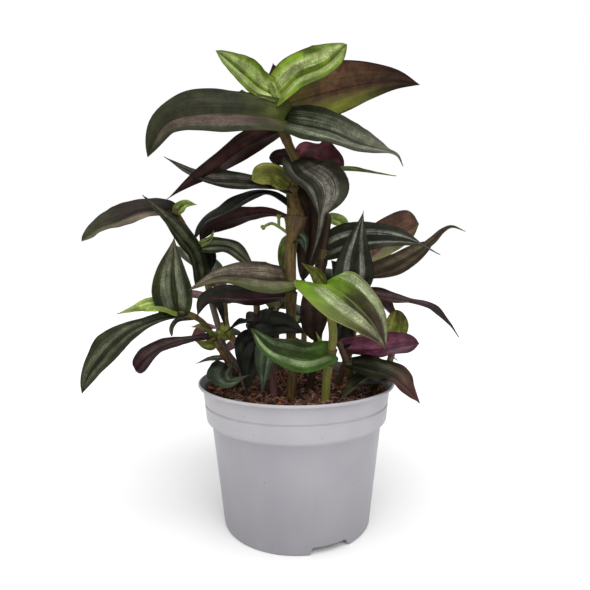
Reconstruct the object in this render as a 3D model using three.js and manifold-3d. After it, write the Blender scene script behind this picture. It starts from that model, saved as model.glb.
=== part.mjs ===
// A potted inch plant: a round nursery pot, its potting mix and the leafy stems that stand in it.
// Millimetres, +Z up, origin at the centre of the pot's underside, the front towards -Y.
import * as THREE from 'three';
import { mergeVertices } from 'three/addons/utils/BufferGeometryUtils.js';
import Module from 'manifold-3d';

const wasm = await Module();
wasm.setup();

// Pot
const POT_HEIGHT = 87;
const RIM_RADIUS = 60;
const BASE_RADIUS = 45.2;
const FOOT_CHAMFER = 0.5;
const BODY_TOP = 52;
const WALL = 1.2;
const FLOOR = 1.4;
const COLLAR_HEIGHT = 22;
const COLLAR_STEP = 3.2;
const GROOVE_HEIGHT = 75;
const GROOVE_DEPTH = 0.6;
const LIP_HEIGHT = 2;
const LIP_WIDTH = 1.3;
const POT_SIDES = 36;

// Channels under the pot that lead water out, and the drain hole in each channel's roof
const CHANNELS = 3;
const FIRST_CHANNEL = 24.3;
const CHANNEL_ANGLE = 29;
const CHANNEL_HEIGHT = 3.9;
const CHANNEL_START = 30;
const DRAIN_RADIUS = 3;
const DRAIN_PLACE = 38;
const DRAIN_SIDES = 12;

// Potting mix
const MIX_LEVEL = 81.5;
const MIX_RINGS = 6;
const GAP = 0.35;
const WALL_GAP = 0.45;
const HOLE_GAP = 0.6;

// Plant
const STEM_SIDES = 6;
const STEM_STEP = 12;
const STEM_SAMPLES = 200;
const ROOT_DEPTH = 15;
const BLADE = 0.7;
const TIP_WIDTH = 1;
const LOBE_LENGTH = 0.35;
const LONG_LEAF = 60;
const LONG_GRID = { steps: 6, columns: 4 };
const SHORT_GRID = { steps: 5, columns: 2 };

const vector = (point) => new THREE.Vector3(...point);
const radians = THREE.MathUtils.degToRad;

// One leaf: its height on the stem, the points that its midrib runs through up to the tip, its
// width, and the way its upper side looks at the base and at the tip. Its outline is widest at a
// share of its length, swells up to there and tapers from there by two exponents each, and may end
// in a tail, given as shares of its length and of its width. Its halves differ by a skew, the lobes
// at its base by a lobe skew, and its base may stand off the stem's middle by a shift.
const leaf = (height, course, width, facing, more = {}) => ({
  height, course, width, facing, tipFacing: facing, fold: 14, wave: 1, lobe: 0.1, base: 0.42,
  widest: 0.3, swell: [2, 0.5], taper: [1.55, 1.25], tail: [0, 0], skew: 0, lobeSkew: 0,
  shift: [0, 0, 0], ...more,
});

// Every leafy stem: its path from the mix upwards, its radii at even steps, and its leaves.
const stems = {
  main: {
    path: [[-3, -28, 82], [-2, -27, 98], [-3, -22, 120], [-3, -14, 146], [-3, -9, 166], [0, -7, 185],
      [-2, -5, 200], [1, -4, 217], [-4, -4, 229], [-9, -5, 243], [-10, -6, 259]],
    radii: [2.9, 2.9, 2.9, 2.9, 2.9, 3.1, 3.5, 3.8, 5.8, 2.8, 2.9, 2.8, 2.6, 2],
    leaves: [
      leaf(140, [[-29, -25, 139], [-51, -26, 138], [-56, -25, 129]], 20, [0, 7, 7], { taper: [2, 1] }),
      leaf(148, [[-14, -31, 149], [-41, -38, 151], [-58, -38, 144]], 26, [0, -8, 6],
        { base: 0.6, widest: 0.22, taper: [1.2, 1] }),
      leaf(174, [[-7, 0, 166], [-9, 4, 150]], 9, [-2, 8, 2]),
      leaf(174, [[4, -14, 172], [6, -16, 164]], 9, [0, -9, 3], { wave: 0.5 }),
      leaf(184, [[-16, -2, 189], [-25, 2, 189], [-45, 8, 185], [-55, 10, 181], [-61, 12, 173]],
        18, [0, 7, 7], { base: 0.15, widest: 0.6, swell: [1, 1.6], taper: [2, 0.9] }),
      leaf(190, [[-15, -11, 199], [-24, -14, 198], [-41, -20, 187], [-51, -23, 182], [-57, -24, 172]],
        13, [0, -6, 8], { tipFacing: [-6, -6, 4], widest: 0.6, swell: [1, 1.2], taper: [2, 0.8] }),
      leaf(202, [[-27, -12, 205], [-47, -20, 205], [-58, -22, 209], [-73, -24, 218]], 18, [0, -7, 7],
        { widest: 0.5, swell: [1.5, 0.8], taper: [1.3, 1.3] }),
      leaf(203, [[-15, -13, 209], [-25, -17, 206]], 15, [0, -9, 2],
        { fold: 20, wave: 0, widest: 0.6, taper: [3, 0.7] }),
      leaf(206, [[8, 20, 216], [22, 58, 206]], 26, [0, 3, 9]),
      leaf(206, [[7, -4, 200], [8, -4, 185], [7, -5, 165], [4, -9, 148]], 16, [0, -9, 1],
        { wave: 0.5, base: 0.7, taper: [3, 0.7] }),
      leaf(211, [[30, 0, 215], [61, -2, 211]], 14, [0, -1.5, 10], { wave: 0.5 }),
      leaf(217, [[1, -17, 209], [11, -26, 199], [13, -31, 181], [8, -31, 158]], 31, [1, -7, 6],
        { tipFacing: [4, -9, 2], shift: [-3, -4, 1], widest: 0.56, taper: [2, 1.1], tail: [0.35, 0.14],
          skew: -0.42 }),
      leaf(223, [[-8, 2, 223], [-16, 4, 223]], 10, [0, 9, 3], { wave: 0, widest: 0.5, taper: [3, 0.6] }),
      leaf(222, [[13, 12, 224], [31, 16, 219]], 26, [0, 6, 8],
        { wave: 1.6, widest: 0.5, taper: [3, 0.7] }),
      leaf(238, [[-8, 30, 262], [-6, 64, 268]], 24, [0, 2, 10]),
      leaf(238, [[-30, -10, 226], [-46, -20, 212], [-58, -25, 204], [-71, -28, 194]], 17, [0, 7, 7],
        { base: 0.35, widest: 0.35 }),
      leaf(241, [[-33, -24, 241], [-61, -32, 237], [-71, -32, 232], [-80, -32, 216]], 28, [0, -9, 3],
        { tipFacing: [-2, -9, 3], shift: [3, -4, 1], base: 0.6, lobe: 0.2, widest: 0.42,
          taper: [2.4, 0.9] }),
      leaf(243, [[20, -20, 232], [34, -27, 224], [48, -32, 219], [55, -33, 216], [58, -34, 210]],
        28, [1, -9, 5], { widest: 0.35, taper: [1.8, 0.9], tail: [0.12, 0.1] }),
      leaf(246, [[-26, 20, 264], [-43, 42, 275]], 22, [0, 2, 10]),
      leaf(249, [[-11, -9, 256], [-14, -9, 264]], 6, [0, -9, 1],
        { shift: [0, -3, 0], fold: 25, wave: 0, base: 0.9, widest: 0.5, taper: [3, 0.6] }),
      leaf(251, [[25, 8, 265], [48, 12, 271], [64, 14, 273], [79, 16, 271]], 34, [0, 8, 5],
        { widest: 0.38, taper: [1.5, 1] }),
      leaf(256, [[-11, -3, 268], [-13, -3, 277]], 12, [0, -9, 2], { wave: 0, widest: 0.5 }),
      leaf(257, [[2, -13, 265], [16, -18, 269], [29, -20, 280]], 27, [-3, -9, 3],
        { fold: 22, wave: 0.6, base: 0.75, widest: 0.45, taper: [2.4, 0.8] }),
      leaf(257, [[-20, -10, 260], [-29, -16, 266], [-44, -20, 277]], 20, [1, -9, 3],
        { fold: 22, wave: 0.5, base: 0.6, widest: 0.42, taper: [1.8, 0.9] }),
    ],
  },
  front: {
    path: [[16, -34, 82], [17, -34, 97], [19, -35, 109], [20, -37, 119], [18, -37, 134], [15, -37, 147]],
    radii: [2.6, 2.3],
    leaves: [
      leaf(110, [[5, -44, 109], [-3, -48, 111], [-13, -50, 115], [-23, -52, 125]], 18, [2, -8, 6],
        { base: 0.5, widest: 0.42, taper: [1.8, 0.9], skew: -0.18 }),
      leaf(109, [[14, -32, 114], [11, -30, 120]], 4, [0, -8, 3], { fold: 30, wave: 0 }),
      leaf(145, [[21, -45, 144], [29, -49, 138], [36, -51, 131], [42, -52, 123], [46, -52, 114]],
        31, [1, -9, 5],
        { tipFacing: [3, -9, 4], shift: [0, -1, 2], base: 0.5, lobe: 0.2, lobeSkew: 1.4, widest: 0.36,
          taper: [1.6, 1.1], skew: 0.15 }),
      leaf(147, [[11, -36, 153], [3, -34, 158]], 10, [-3, -7, -6], { wave: 0 }),
    ],
  },
  middle: {
    path: [[8, -12, 82], [13, -8, 112], [14, -4, 136], [15, 0, 153], [17, 3, 170], [20, 6, 190]],
    radii: [2.3, 2.4, 3, 3.6, 3],
    leaves: [
      leaf(138, [[12, -17, 136], [10, -24, 124], [11, -25, 114]], 18, [0, -9, 3],
        { base: 0.7, taper: [3, 0.7] }),
      leaf(165, [[30, 2, 171], [45, -3, 173], [70, -13, 170], [84, -16, 163]], 24, [0, -9, 5],
        { tipFacing: [2, -8, 6], widest: 0.4, taper: [2, 1.2], tail: [0.14, 0.08] }),
      leaf(186, [[27, 10, 185], [33, 12, 180]], 9, [1, -9, 3],
        { wave: 0.3, widest: 0.5, taper: [3, 0.6] }),
    ],
  },
  right: {
    path: [[26, 0, 82], [34, -2, 108], [35, -4, 130], [34, -6, 145], [34, -4, 157]],
    radii: [2.4, 2.1],
    leaves: [
      leaf(139, [[50, -8, 138], [78, -17, 132], [89, -18, 123], [95, -18, 115]], 14, [0, -4, 9],
        { tipFacing: [6, -6, 5], taper: [1.3, 0.8], tail: [0.3, 0.5] }),
      leaf(144, [[35, -14, 166], [40, -11, 189]], 25, [0, -10, 1.5], { widest: 0.25, taper: [1.2, 1.3] }),
      leaf(145, [[28, -9, 152], [21, -10, 160]], 20, [0, -9, 3]),
      leaf(147, [[57, 2, 154], [74, 5, 163], [86, 7, 172], [92, 8, 178], [98, 8, 181], [107, 8, 178]],
        20, [-2, -4, 9], { tipFacing: [-3, -8, 3], widest: 0.5, taper: [2, 0.8], tail: [0.3, 0.28] }),
      leaf(150, [[52, 18, 165], [67, 27, 176], [84, 34, 185]], 33, [0, 8, 6],
        { widest: 0.7, taper: [3, 0.6] }),
    ],
  },
  low_right: {
    path: [[33, -15, 82], [31, -22, 94], [27, -22, 107], [24, -23, 114]],
    radii: [2.2, 2],
    leaves: [
      leaf(100, [[41, -30, 99], [53, -35, 96], [60, -38, 90], [67, -39, 82]], 22, [0, -3, 9],
        { tipFacing: [4, -5, 8], widest: 0.5, taper: [1.6, 0.9] }),
      leaf(109, [[50, -26, 110], [69, -28, 113]], 20, [0, 8, 6], { widest: 0.7, taper: [2.5, 0.8] }),
      leaf(111, [[28, -18, 122], [32, -16, 130]], 14, [0, -9, 2]),
    ],
  },
  rim_right: {
    path: [[45, -11, 82], [53, -14, 94], [57, -12, 105], [57, -10, 118]],
    radii: [2, 1.8],
    leaves: [
      leaf(90, [[43, -30, 93], [33, -40, 93]], 14, [0, -7, 7], { wave: 0.5 }),
      leaf(90, [[43, -24, 93], [33, -33, 91], [22, -46, 85]], 13, [0, -5, 9], { tipFacing: [-4, -8, 4] }),
      leaf(111, [[60, -9, 121], [61, -7, 130]], 15, [0, -9, 2],
        { fold: 20, wave: 0.5, widest: 0.45, taper: [2, 0.6] }),
    ],
  },
  left_low: {
    path: [[-35, -5, 82], [-40, -12, 98], [-46, -15, 110], [-53, -18, 123], [-59, -20, 128],
      [-68, -22, 131]],
    radii: [1.9, 1.5],
    leaves: [
      leaf(98, [[-41, -27, 95], [-36, -38, 94], [-25, -42, 99]], 15, [0, -6, 8],
        { wave: 0.6, base: 0.7, widest: 0.35, skew: 0.35 }),
      leaf(102, [[-51, -15, 102], [-59, -16, 100]], 5, [0, -5, 9], { wave: 0 }),
      leaf(112, [[-52, -21, 112], [-58, -23, 114]], 8, [0, -9, -2], { wave: 0.3 }),
      leaf(115, [[-67, -25, 114], [-76, -29, 111], [-82, -32, 107], [-89, -33, 99]], 17, [0, -5, 9],
        { tipFacing: [-4, -7, 6], widest: 0.78, swell: [1, 4], taper: [3, 0.6] }),
      leaf(116, [[-54, -24, 122], [-59, -26, 123]], 11, [0, -5, 9], { fold: 30, wave: 0.3 }),
      leaf(127, [[-68, -22, 126], [-71, -23, 122], [-71, -24, 117]], 3, [0, -9, 3],
        { wave: 0, widest: 0.5, taper: [3, 0.6] }),
      leaf(130, [[-83, -28, 125], [-93, -33, 120], [-104, -37, 109], [-112, -38, 99], [-117, -38, 88]],
        21, [0, -5, 9], { tipFacing: [-3, -9, 3], widest: 0.6, swell: [1, 2.2], taper: [1.7, 1] }),
      leaf(131, [[-77, -26, 135], [-99, -32, 131]], 12, [0, -7, 7], { wave: 0.5 }),
      leaf(131, [[-69, -26, 150], [-68, -26, 173]], 23, [1, -10, 1], { wave: 0.6, skew: -0.08 }),
    ],
  },
  left_high: {
    path: [[-28, 2, 82], [-44, 0, 105], [-48, 0, 119], [-52, 1, 134], [-56, 2, 153], [-61, 3, 170],
      [-68, 4, 180], [-76, 5, 192]],
    radii: [2.1, 1.8],
    leaves: [
      leaf(118, [[-44, -5, 117], [-41, -6, 112]], 10, [0, -9, 2],
        { wave: 0.3, widest: 0.5, taper: [3, 0.6] }),
      leaf(136, [[-47, -4, 134], [-43, -7, 120]], 5, [0, -9, 1], { wave: 0 }),
      leaf(149, [[-62, -5, 164], [-67, -8, 172], [-79, -10, 187], [-90, -10, 199]], 15, [6, -6, 4],
        { shift: [-4, -3, -3], fold: 25, base: 0.6, widest: 0.35, taper: [1.6, 1] }),
      leaf(168, [[-55, 8, 163], [-54, 10, 153]], 12, [2, -9, 2]),
      leaf(168, [[-48, -3, 169], [-38, -7, 167], [-25, -10, 156]], 12, [1, -8, 5],
        { widest: 0.4, taper: [2, 0.8] }),
      leaf(169, [[-52, 0, 174], [-50, 0, 179]], 5, [0, -9, 1], { fold: 20, wave: 0 }),
      leaf(190, [[-82, 1, 191], [-94, -3, 190], [-106, -7, 184], [-116, -10, 180], [-126, -12, 172]],
        22, [0, -7, 7], { tipFacing: [-3, -7, 6], widest: 0.5, taper: [2.4, 0.8] }),
      leaf(190, [[-68, 4, 195], [-61, 4, 195]], 8, [0, -9, 2], { fold: 20, wave: 0.3 }),
    ],
  },
  centre_left: {
    path: [[-18, -11, 82], [-25, -4, 109], [-24, -3, 130], [-25, -5, 144]],
    radii: [2.2, 2],
    leaves: [
      leaf(112, [[-29, -18, 111], [-30, -24, 89]], 15, [0, -10, 3]),
      leaf(122, [[-32, -14, 124], [-42, -18, 118]], 7, [0, -5, 9], { wave: 0.5 }),
      leaf(124, [[-17, -21, 123], [-6, -29, 124], [4, -33, 120]], 18, [0, -9, 3], { taper: [2, 0.8] }),
      leaf(128, [[-22, -13, 123], [-22, -17, 114]], 15, [0, -9, 3]),
    ],
  },
  low_centre: {
    path: [[-13, -22, 82], [-14, -19, 102], [-12, -16, 112], [-12, -14, 120]],
    radii: [2.2, 2],
    leaves: [
      leaf(107, [[-22, -30, 107], [-28, -36, 88]], 17, [0, -10, 3]),
      leaf(113, [[-16, -31, 109], [-19, -38, 87]], 16, [0, -10, 3]),
    ],
  },
  back_left: {
    path: [[-26, 26, 82], [-38, 34, 98], [-48, 41, 112], [-52, 44, 134], [-60, 48, 152]],
    radii: [2.4, 1.9],
    leaves: [
      leaf(108, [[-60, 52, 112], [-82, 62, 100]], 24, [-1, 3, 9]),
      leaf(130, [[-84, 58, 134], [-108, 66, 116]], 26, [-1, 3, 9]),
      leaf(142, [[-46, 68, 150], [-34, 92, 142]], 28, [1, 3, 9]),
      leaf(150, [[-80, 64, 168], [-92, 86, 172]], 26, [2, -4, 9]),
    ],
  },
  back_centre: {
    path: [[-14, 40, 82], [-16, 46, 106], [-14, 50, 128]],
    radii: [2.3, 2],
    leaves: [
      leaf(92, [[-38, 54, 100], [-60, 64, 88]], 25, [-1, 3, 9]),
      leaf(122, [[-2, 66, 142], [8, 88, 138]], 26, [0, 3, 9]),
      leaf(126, [[-28, 70, 140], [-38, 98, 126]], 28, [-1, 3, 9]),
    ],
  },
  back_right: {
    path: [[22, 36, 82], [30, 44, 130], [36, 50, 174]],
    radii: [2.4, 2],
    leaves: [
      leaf(100, [[50, 50, 104], [74, 50, 88]], 24, [1, 3, 9]),
      leaf(128, [[54, 54, 134], [80, 64, 114]], 28, [1, 3, 9]),
      leaf(142, [[34, 70, 152], [44, 100, 142]], 28, [1, 3, 9]),
      leaf(163, [[20, 68, 172], [6, 94, 158]], 26, [0, 4, 9]),
      leaf(171, [[48, 72, 184], [62, 104, 170]], 30, [1, 3, 9]),
    ],
  },
  back: {
    path: [[6, 46, 82], [6, 58, 104], [8, 66, 122]],
    radii: [2.2, 2],
    leaves: [
      leaf(96, [[-12, 78, 98], [-26, 92, 82]], 24, [-1, 3, 9]),
      leaf(114, [[30, 82, 120], [50, 94, 102]], 26, [1, 3, 9]),
      leaf(119, [[4, 92, 124], [0, 118, 104]], 26, [0, 3, 9]),
    ],
  },
};

// The spent flower stalk on the main stem: two thin arms, each with a small seed head.
const stalkArms = [
  { path: [[-3, -7, 175], [-10, -8, 180], [-14, -8, 182], [-17, -9, 181], [-20, -9, 179]],
    radii: [1.2, 0.9, 0.9, 1.1, 2] },
  { path: [[-10, -8, 180], [-10, -8, 184], [-10, -8, 187]], radii: [0.9, 1.1, 2.2] },
];

// A solid from vertices and triangles, with shared vertices merged and empty triangles left out.
function solid(geometry) {
  const bare = new THREE.BufferGeometry();
  bare.setAttribute('position', geometry.getAttribute('position'));
  bare.setIndex(geometry.getIndex());
  const merged = mergeVertices(bare, 1e-4);
  const corners = merged.getIndex().array;
  const triVerts = [];
  for (let i = 0; i < corners.length; i += 3) {
    const [a, b, c] = corners.slice(i, i + 3);
    if (a !== b && b !== c && c !== a) triVerts.push(a, b, c);
  }
  const vertProperties = Float32Array.from(merged.getAttribute('position').array);
  const mesh = new wasm.Mesh({ numProp: 3, vertProperties, triVerts: Uint32Array.from(triVerts) });
  return new wasm.Manifold(mesh);
}

function geometryFrom(points, triangles) {
  const geometry = new THREE.BufferGeometry();
  const numbers = points.flatMap((point) => point.toArray());
  geometry.setAttribute('position', new THREE.Float32BufferAttribute(numbers, 3));
  geometry.setIndex(triangles.flat());
  return geometry;
}

// A profile of [radius, height] points turned round the Z axis.
function revolved(profile) {
  const points = profile.map(([radius, height]) => new THREE.Vector2(radius, height));
  return new THREE.LatheGeometry(points, POT_SIDES).rotateX(Math.PI / 2);
}

// The radius at a share of a stem's length, from radii given at even steps.
function radiusAt(radii, share) {
  const place = share * (radii.length - 1);
  const before = Math.min(Math.floor(place), radii.length - 2);
  return THREE.MathUtils.lerp(radii[before], radii[before + 1], place - before);
}

// A round rod along a smooth path, closed with a flat cap at each end.
function rod(path, radii, extra = 0) {
  const curve = new THREE.CatmullRomCurve3(path.map(vector));
  const steps = Math.max(2, Math.ceil(curve.getLength() / STEM_STEP));
  const points = [];
  const triangles = [];
  for (let i = 0; i <= steps; i += 1) {
    const share = i / steps;
    const along = curve.getTangentAt(share);
    const side = new THREE.Vector3(0, 1, 0).cross(along).normalize();
    const up = along.clone().cross(side);
    const radius = radiusAt(radii, share) + extra;
    for (let j = 0; j < STEM_SIDES; j += 1) {
      const angle = (2 * Math.PI * j) / STEM_SIDES;
      points.push(curve.getPointAt(share)
        .addScaledVector(side, radius * Math.cos(angle))
        .addScaledVector(up, radius * Math.sin(angle)));
    }
  }
  const at = (i, j) => i * STEM_SIDES + (j % STEM_SIDES);
  for (let i = 0; i < steps; i += 1) {
    for (let j = 0; j < STEM_SIDES; j += 1) {
      triangles.push([at(i, j), at(i, j + 1), at(i + 1, j + 1)], [at(i, j), at(i + 1, j + 1), at(i + 1, j)]);
    }
  }
  for (let j = 1; j < STEM_SIDES - 1; j += 1) {
    triangles.push([at(0, 0), at(0, j + 1), at(0, j)], [at(steps, 0), at(steps, j), at(steps, j + 1)]);
  }
  return solid(geometryFrom(points, triangles));
}

// Half the leaf's width at a share of its length, as a share of its greatest half width: it swells
// from the clasping base, tapers to the tip, and may end in a tail.
function leafHalf(share, { base, widest, swell, taper, tail }) {
  const body = Math.min(share / (1 - tail[0]), 1);
  const ending = tail[1] * Math.min((1 - share) / Math.max(tail[0], 0.01), 1);
  const width = body < widest
    ? base + (1 - base) * (1 - (1 - body / widest) ** swell[0]) ** swell[1]
    : (1 - ((body - widest) / (1 - widest)) ** taper[0]) ** taper[1];
  return Math.max(width, ending);
}

// The middle surface of a leaf as rows of points across it, from base to tip.
function leafSurface(start, settings) {
  const { course, width, facing, tipFacing, fold, wave, lobe, lobeSkew, skew } = settings;
  const curve = new THREE.CatmullRomCurve3([start, ...course.map(vector)]);
  const rows = [];
  const { steps, columns } = curve.getLength() > LONG_LEAF ? LONG_GRID : SHORT_GRID;
  for (let i = 0; i <= steps; i += 1) {
    const share = i / steps;
    const along = curve.getTangentAt(share);
    const face = vector(facing).normalize().lerp(vector(tipFacing).normalize(), share);
    const normal = face.addScaledVector(along, -face.dot(along)).normalize();
    const across = along.clone().cross(normal);
    const half = Math.max(leafHalf(share, settings) * width, TIP_WIDTH) / 2;
    const row = [];
    for (let j = 0; j <= columns; j += 1) {
      const place = (2 * j) / columns - 1;
      const ripple = wave * place ** 2 * Math.sin(4 * Math.PI * share + 0.8 * place)
        * Math.min(1, half / (0.3 * width));
      const reach = lobe * width * (1 + lobeSkew * Math.sign(place));
      const back = reach * Math.abs(place) ** 1.5 * Math.max(0, 1 - share / LOBE_LENGTH) ** 1.5;
      row.push(curve.getPointAt(share)
        .addScaledVector(across, half * place * (1 + skew * Math.sign(place)) * Math.cos(radians(fold)))
        .addScaledVector(normal, half * Math.abs(place) * Math.sin(radians(fold)) + ripple)
        .addScaledVector(along, -back));
    }
    rows.push(row);
  }
  return rows;
}

// The way that the surface looks at one of its points.
function surfaceNormal(rows, i, j) {
  const alongward = rows[Math.min(i + 1, rows.length - 1)][j].clone().sub(rows[Math.max(i - 1, 0)][j]);
  const acrossward = rows[i][Math.min(j + 1, rows[i].length - 1)].clone().sub(rows[i][Math.max(j - 1, 0)]);
  return acrossward.cross(alongward).normalize();
}

// A leaf as a thin closed blade. Both faces are split along the same diagonals.
function blade(start, settings) {
  const rows = leafSurface(start, settings);
  const columns = rows[0].length - 1;
  const underside = rows.length * (columns + 1);
  const upper = [];
  const lower = [];
  rows.forEach((row, i) => row.forEach((point, j) => {
    const lift = surfaceNormal(rows, i, j).multiplyScalar(BLADE / 2);
    upper.push(point.clone().add(lift));
    lower.push(point.clone().sub(lift));
  }));
  const at = (i, j) => i * (columns + 1) + j;
  const triangles = [];
  const band = (a, b) => triangles.push([a, b, b + underside], [a, b + underside, a + underside]);
  for (let i = 0; i < rows.length - 1; i += 1) {
    for (let j = 0; j < columns; j += 1) {
      const [a, b, c, d] = [at(i, j), at(i, j + 1), at(i + 1, j + 1), at(i + 1, j)];
      triangles.push([a, b, c], [a, c, d]);
      triangles.push([a, c, b].map((k) => k + underside), [a, d, c].map((k) => k + underside));
    }
    band(at(i, 0), at(i + 1, 0));
    band(at(i + 1, columns), at(i, columns));
  }
  for (let j = 0; j < columns; j += 1) {
    band(at(0, j + 1), at(0, j));
    band(at(rows.length - 1, j), at(rows.length - 1, j + 1));
  }
  return solid(geometryFrom([...upper, ...lower], triangles));
}

// The point on a stem's middle line at a height.
function pointOnStem(path, height) {
  const samples = new THREE.CatmullRomCurve3(path.map(vector)).getPoints(STEM_SAMPLES);
  return samples.reduce((best, p) => (Math.abs(p.z - height) < Math.abs(best.z - height) ? p : best));
}

// A stem's path with its rooted length below the mix.
function rootedPath(path) {
  const [x, y, z] = path[0];
  return [[x, y, z - ROOT_DEPTH], ...path];
}

function leafyStem({ path, radii, leaves }, extras) {
  const blades = leaves.map((settings) => {
    const start = pointOnStem(path, settings.height).clone().add(vector(settings.shift));
    return blade(start, settings);
  });
  const whole = [...blades, ...extras].reduce((sum, piece) => sum.add(piece), rod(rootedPath(path), radii));
  return largestBody(whole);
}

// The largest body of a solid, without the tiny scraps that a join can leave.
function largestBody(whole) {
  return whole.decompose().reduce((best, body) => (body.volume() > best.volume() ? body : best));
}

// Wedges that stand for the channels under the pot, made larger by a margin.
function channels(margin) {
  const half = radians(CHANNEL_ANGLE / 2);
  let all;
  for (let i = 0; i < CHANNELS; i += 1) {
    const middle = radians(FIRST_CHANNEL + (360 / CHANNELS) * i - 90);
    const corner = (radius, angle, aside) => [
      radius * Math.cos(middle + angle) - aside * Math.sin(middle),
      radius * Math.sin(middle + angle) + aside * Math.cos(middle),
    ];
    const shape = new THREE.Shape([
      corner(CHANNEL_START - margin, -half, -margin), corner(RIM_RADIUS, -half, -margin),
      corner(RIM_RADIUS, half, margin), corner(CHANNEL_START - margin, half, margin),
    ].map(([x, y]) => new THREE.Vector2(x, y)));
    const wedge = solid(new THREE.ExtrudeGeometry(shape, {
      depth: CHANNEL_HEIGHT + margin + 1, bevelEnabled: false,
    }).translate(0, 0, -1));
    all = all ? all.add(wedge) : wedge;
  }
  return all;
}

// A round hole through the roof of each channel, so that water can leave the pot.
function drains() {
  let all;
  for (let i = 0; i < CHANNELS; i += 1) {
    const middle = radians(FIRST_CHANNEL + (360 / CHANNELS) * i - 90);
    const drain = solid(new THREE.CylinderGeometry(DRAIN_RADIUS, DRAIN_RADIUS, 4 * WALL, DRAIN_SIDES)
      .rotateX(Math.PI / 2)
      .translate(DRAIN_PLACE * Math.cos(middle), DRAIN_PLACE * Math.sin(middle), CHANNEL_HEIGHT));
    all = all ? all.add(drain) : drain;
  }
  return all;
}

// Heights and radii that the wall and the mix share.
const collarBottom = POT_HEIGHT - COLLAR_HEIGHT;
const lipBottom = POT_HEIGHT - LIP_HEIGHT;
const collarRadius = BODY_TOP + COLLAR_STEP;
const collarTop = collarRadius + 2;
const grooveRadius = THREE.MathUtils.mapLinear(
  GROOVE_HEIGHT, collarBottom, lipBottom, collarRadius, collarTop,
);
const underLip = RIM_RADIUS - LIP_WIDTH;

function potOutside() {
  return [
    [0, 0], [BASE_RADIUS - FOOT_CHAMFER, 0], [BASE_RADIUS, FOOT_CHAMFER], [BODY_TOP, collarBottom - 2.5],
    [collarRadius, collarBottom], [grooveRadius, GROOVE_HEIGHT - 0.6],
    [grooveRadius - GROOVE_DEPTH, GROOVE_HEIGHT - 0.2], [grooveRadius - GROOVE_DEPTH, GROOVE_HEIGHT + 0.4],
    [grooveRadius + 0.1, GROOVE_HEIGHT + 0.8], [collarTop, lipBottom],
    [RIM_RADIUS, lipBottom + 0.4], [RIM_RADIUS, POT_HEIGHT - 0.5], [RIM_RADIUS - 0.4, POT_HEIGHT],
  ];
}

// The inside of the wall below the lip, from the floor up.
const innerWall = [
  [BASE_RADIUS - 2, FLOOR], [BASE_RADIUS - WALL, FLOOR + 1], [BODY_TOP - WALL, collarBottom - 2],
  [collarRadius - WALL, collarBottom + 0.6], [collarTop - WALL, lipBottom - 1],
];

function potShell() {
  const outside = solid(revolved([...potOutside(), [0, POT_HEIGHT]]));
  const inside = solid(revolved([
    [0, FLOOR], ...innerWall, [underLip, POT_HEIGHT], [underLip, POT_HEIGHT + 1], [0, POT_HEIGHT + 1],
  ]));
  return outside.subtract(channels(0)).subtract(inside.subtract(channels(WALL))).subtract(drains());
}

// The mix's surface: low mounds of bark and fibre, a little lower round the wall.
function mixHeight(x, y) {
  const mounds = 0.8 * Math.sin(0.31 * x + 1.3) * Math.cos(0.27 * y)
    + 0.6 * Math.sin(0.73 * x + 0.51 * y) + 0.5 * Math.cos(0.9 * y - 0.6 * x);
  return MIX_LEVEL + mounds - (Math.hypot(x, y) / RIM_RADIUS) ** 4;
}

function pottingMix() {
  const wall = innerWall.slice(0, -1).map(([radius, height]) => [radius - WALL_GAP, height]);
  wall[0][1] += GAP;
  const edge = THREE.MathUtils.mapLinear(
    MIX_LEVEL, collarBottom + 0.6, lipBottom - 1, collarRadius - WALL, collarTop - WALL,
  ) - WALL_GAP;
  const top = [];
  for (let ring = MIX_RINGS; ring >= 0; ring -= 1) top.push([(edge * ring) / MIX_RINGS, MIX_LEVEL]);
  const geometry = revolved([[0, FLOOR + GAP], ...wall, ...top]);
  const position = geometry.getAttribute('position');
  for (let i = 0; i < position.count; i += 1) {
    if (Math.abs(position.getZ(i) - MIX_LEVEL) < 1e-3) {
      position.setZ(i, mixHeight(position.getX(i), position.getY(i)));
    }
  }
  const mix = solid(geometry).subtract(channels(WALL + GAP));
  return Object.values(stems).reduce(
    (rest, { path, radii }) => rest.subtract(stemHole(path, radii)),
    mix,
  );
}

// The plain hole that a stem stands in: the stem's own rooted length, a little wider and deeper.
function stemHole(path, radii) {
  const [foot, ...rest] = rootedPath(path);
  return rod([[foot[0], foot[1], foot[2] - GAP], ...rest], radii, HOLE_GAP);
}

function plainMesh(name, shape, material) {
  const { vertProperties, triVerts } = shape.getMesh();
  const geometry = new THREE.BufferGeometry();
  geometry.setAttribute('position', new THREE.BufferAttribute(vertProperties, 3));
  geometry.setIndex(new THREE.BufferAttribute(triVerts, 1));
  geometry.computeVertexNormals();
  const mesh = new THREE.Mesh(geometry, material);
  mesh.name = name;
  return mesh;
}

const plain = (color, roughness) => new THREE.MeshStandardMaterial({ color, roughness, metalness: 0 });
const potPlastic = () => plain(0xaaa9b0, 0.45);
const mixMaterial = () => plain(0x3a2218, 0.95);
const leafMaterial = () => plain(0x55504a, 0.5);

const group = new THREE.Group();
group.add(plainMesh('pot', potShell(), potPlastic()));
group.add(plainMesh('potting_mix', pottingMix(), mixMaterial()));
for (const [name, stem] of Object.entries(stems)) {
  const extras = name === 'main' ? stalkArms.map(({ path, radii }) => rod(path, radii)) : [];
  group.add(plainMesh(`leafy_stem_${name}`, leafyStem(stem, extras), leafMaterial()));
}

export default group;
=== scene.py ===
# A potted inch plant: silver-banded leaves on upright stems, in potting mix, in a round nursery pot.
# The plant is worked out in millimetres in the frame's own axes, and its meshes are made in metres.
import math

import bmesh
import bpy
import numpy as np
from mathutils import Matrix


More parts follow.
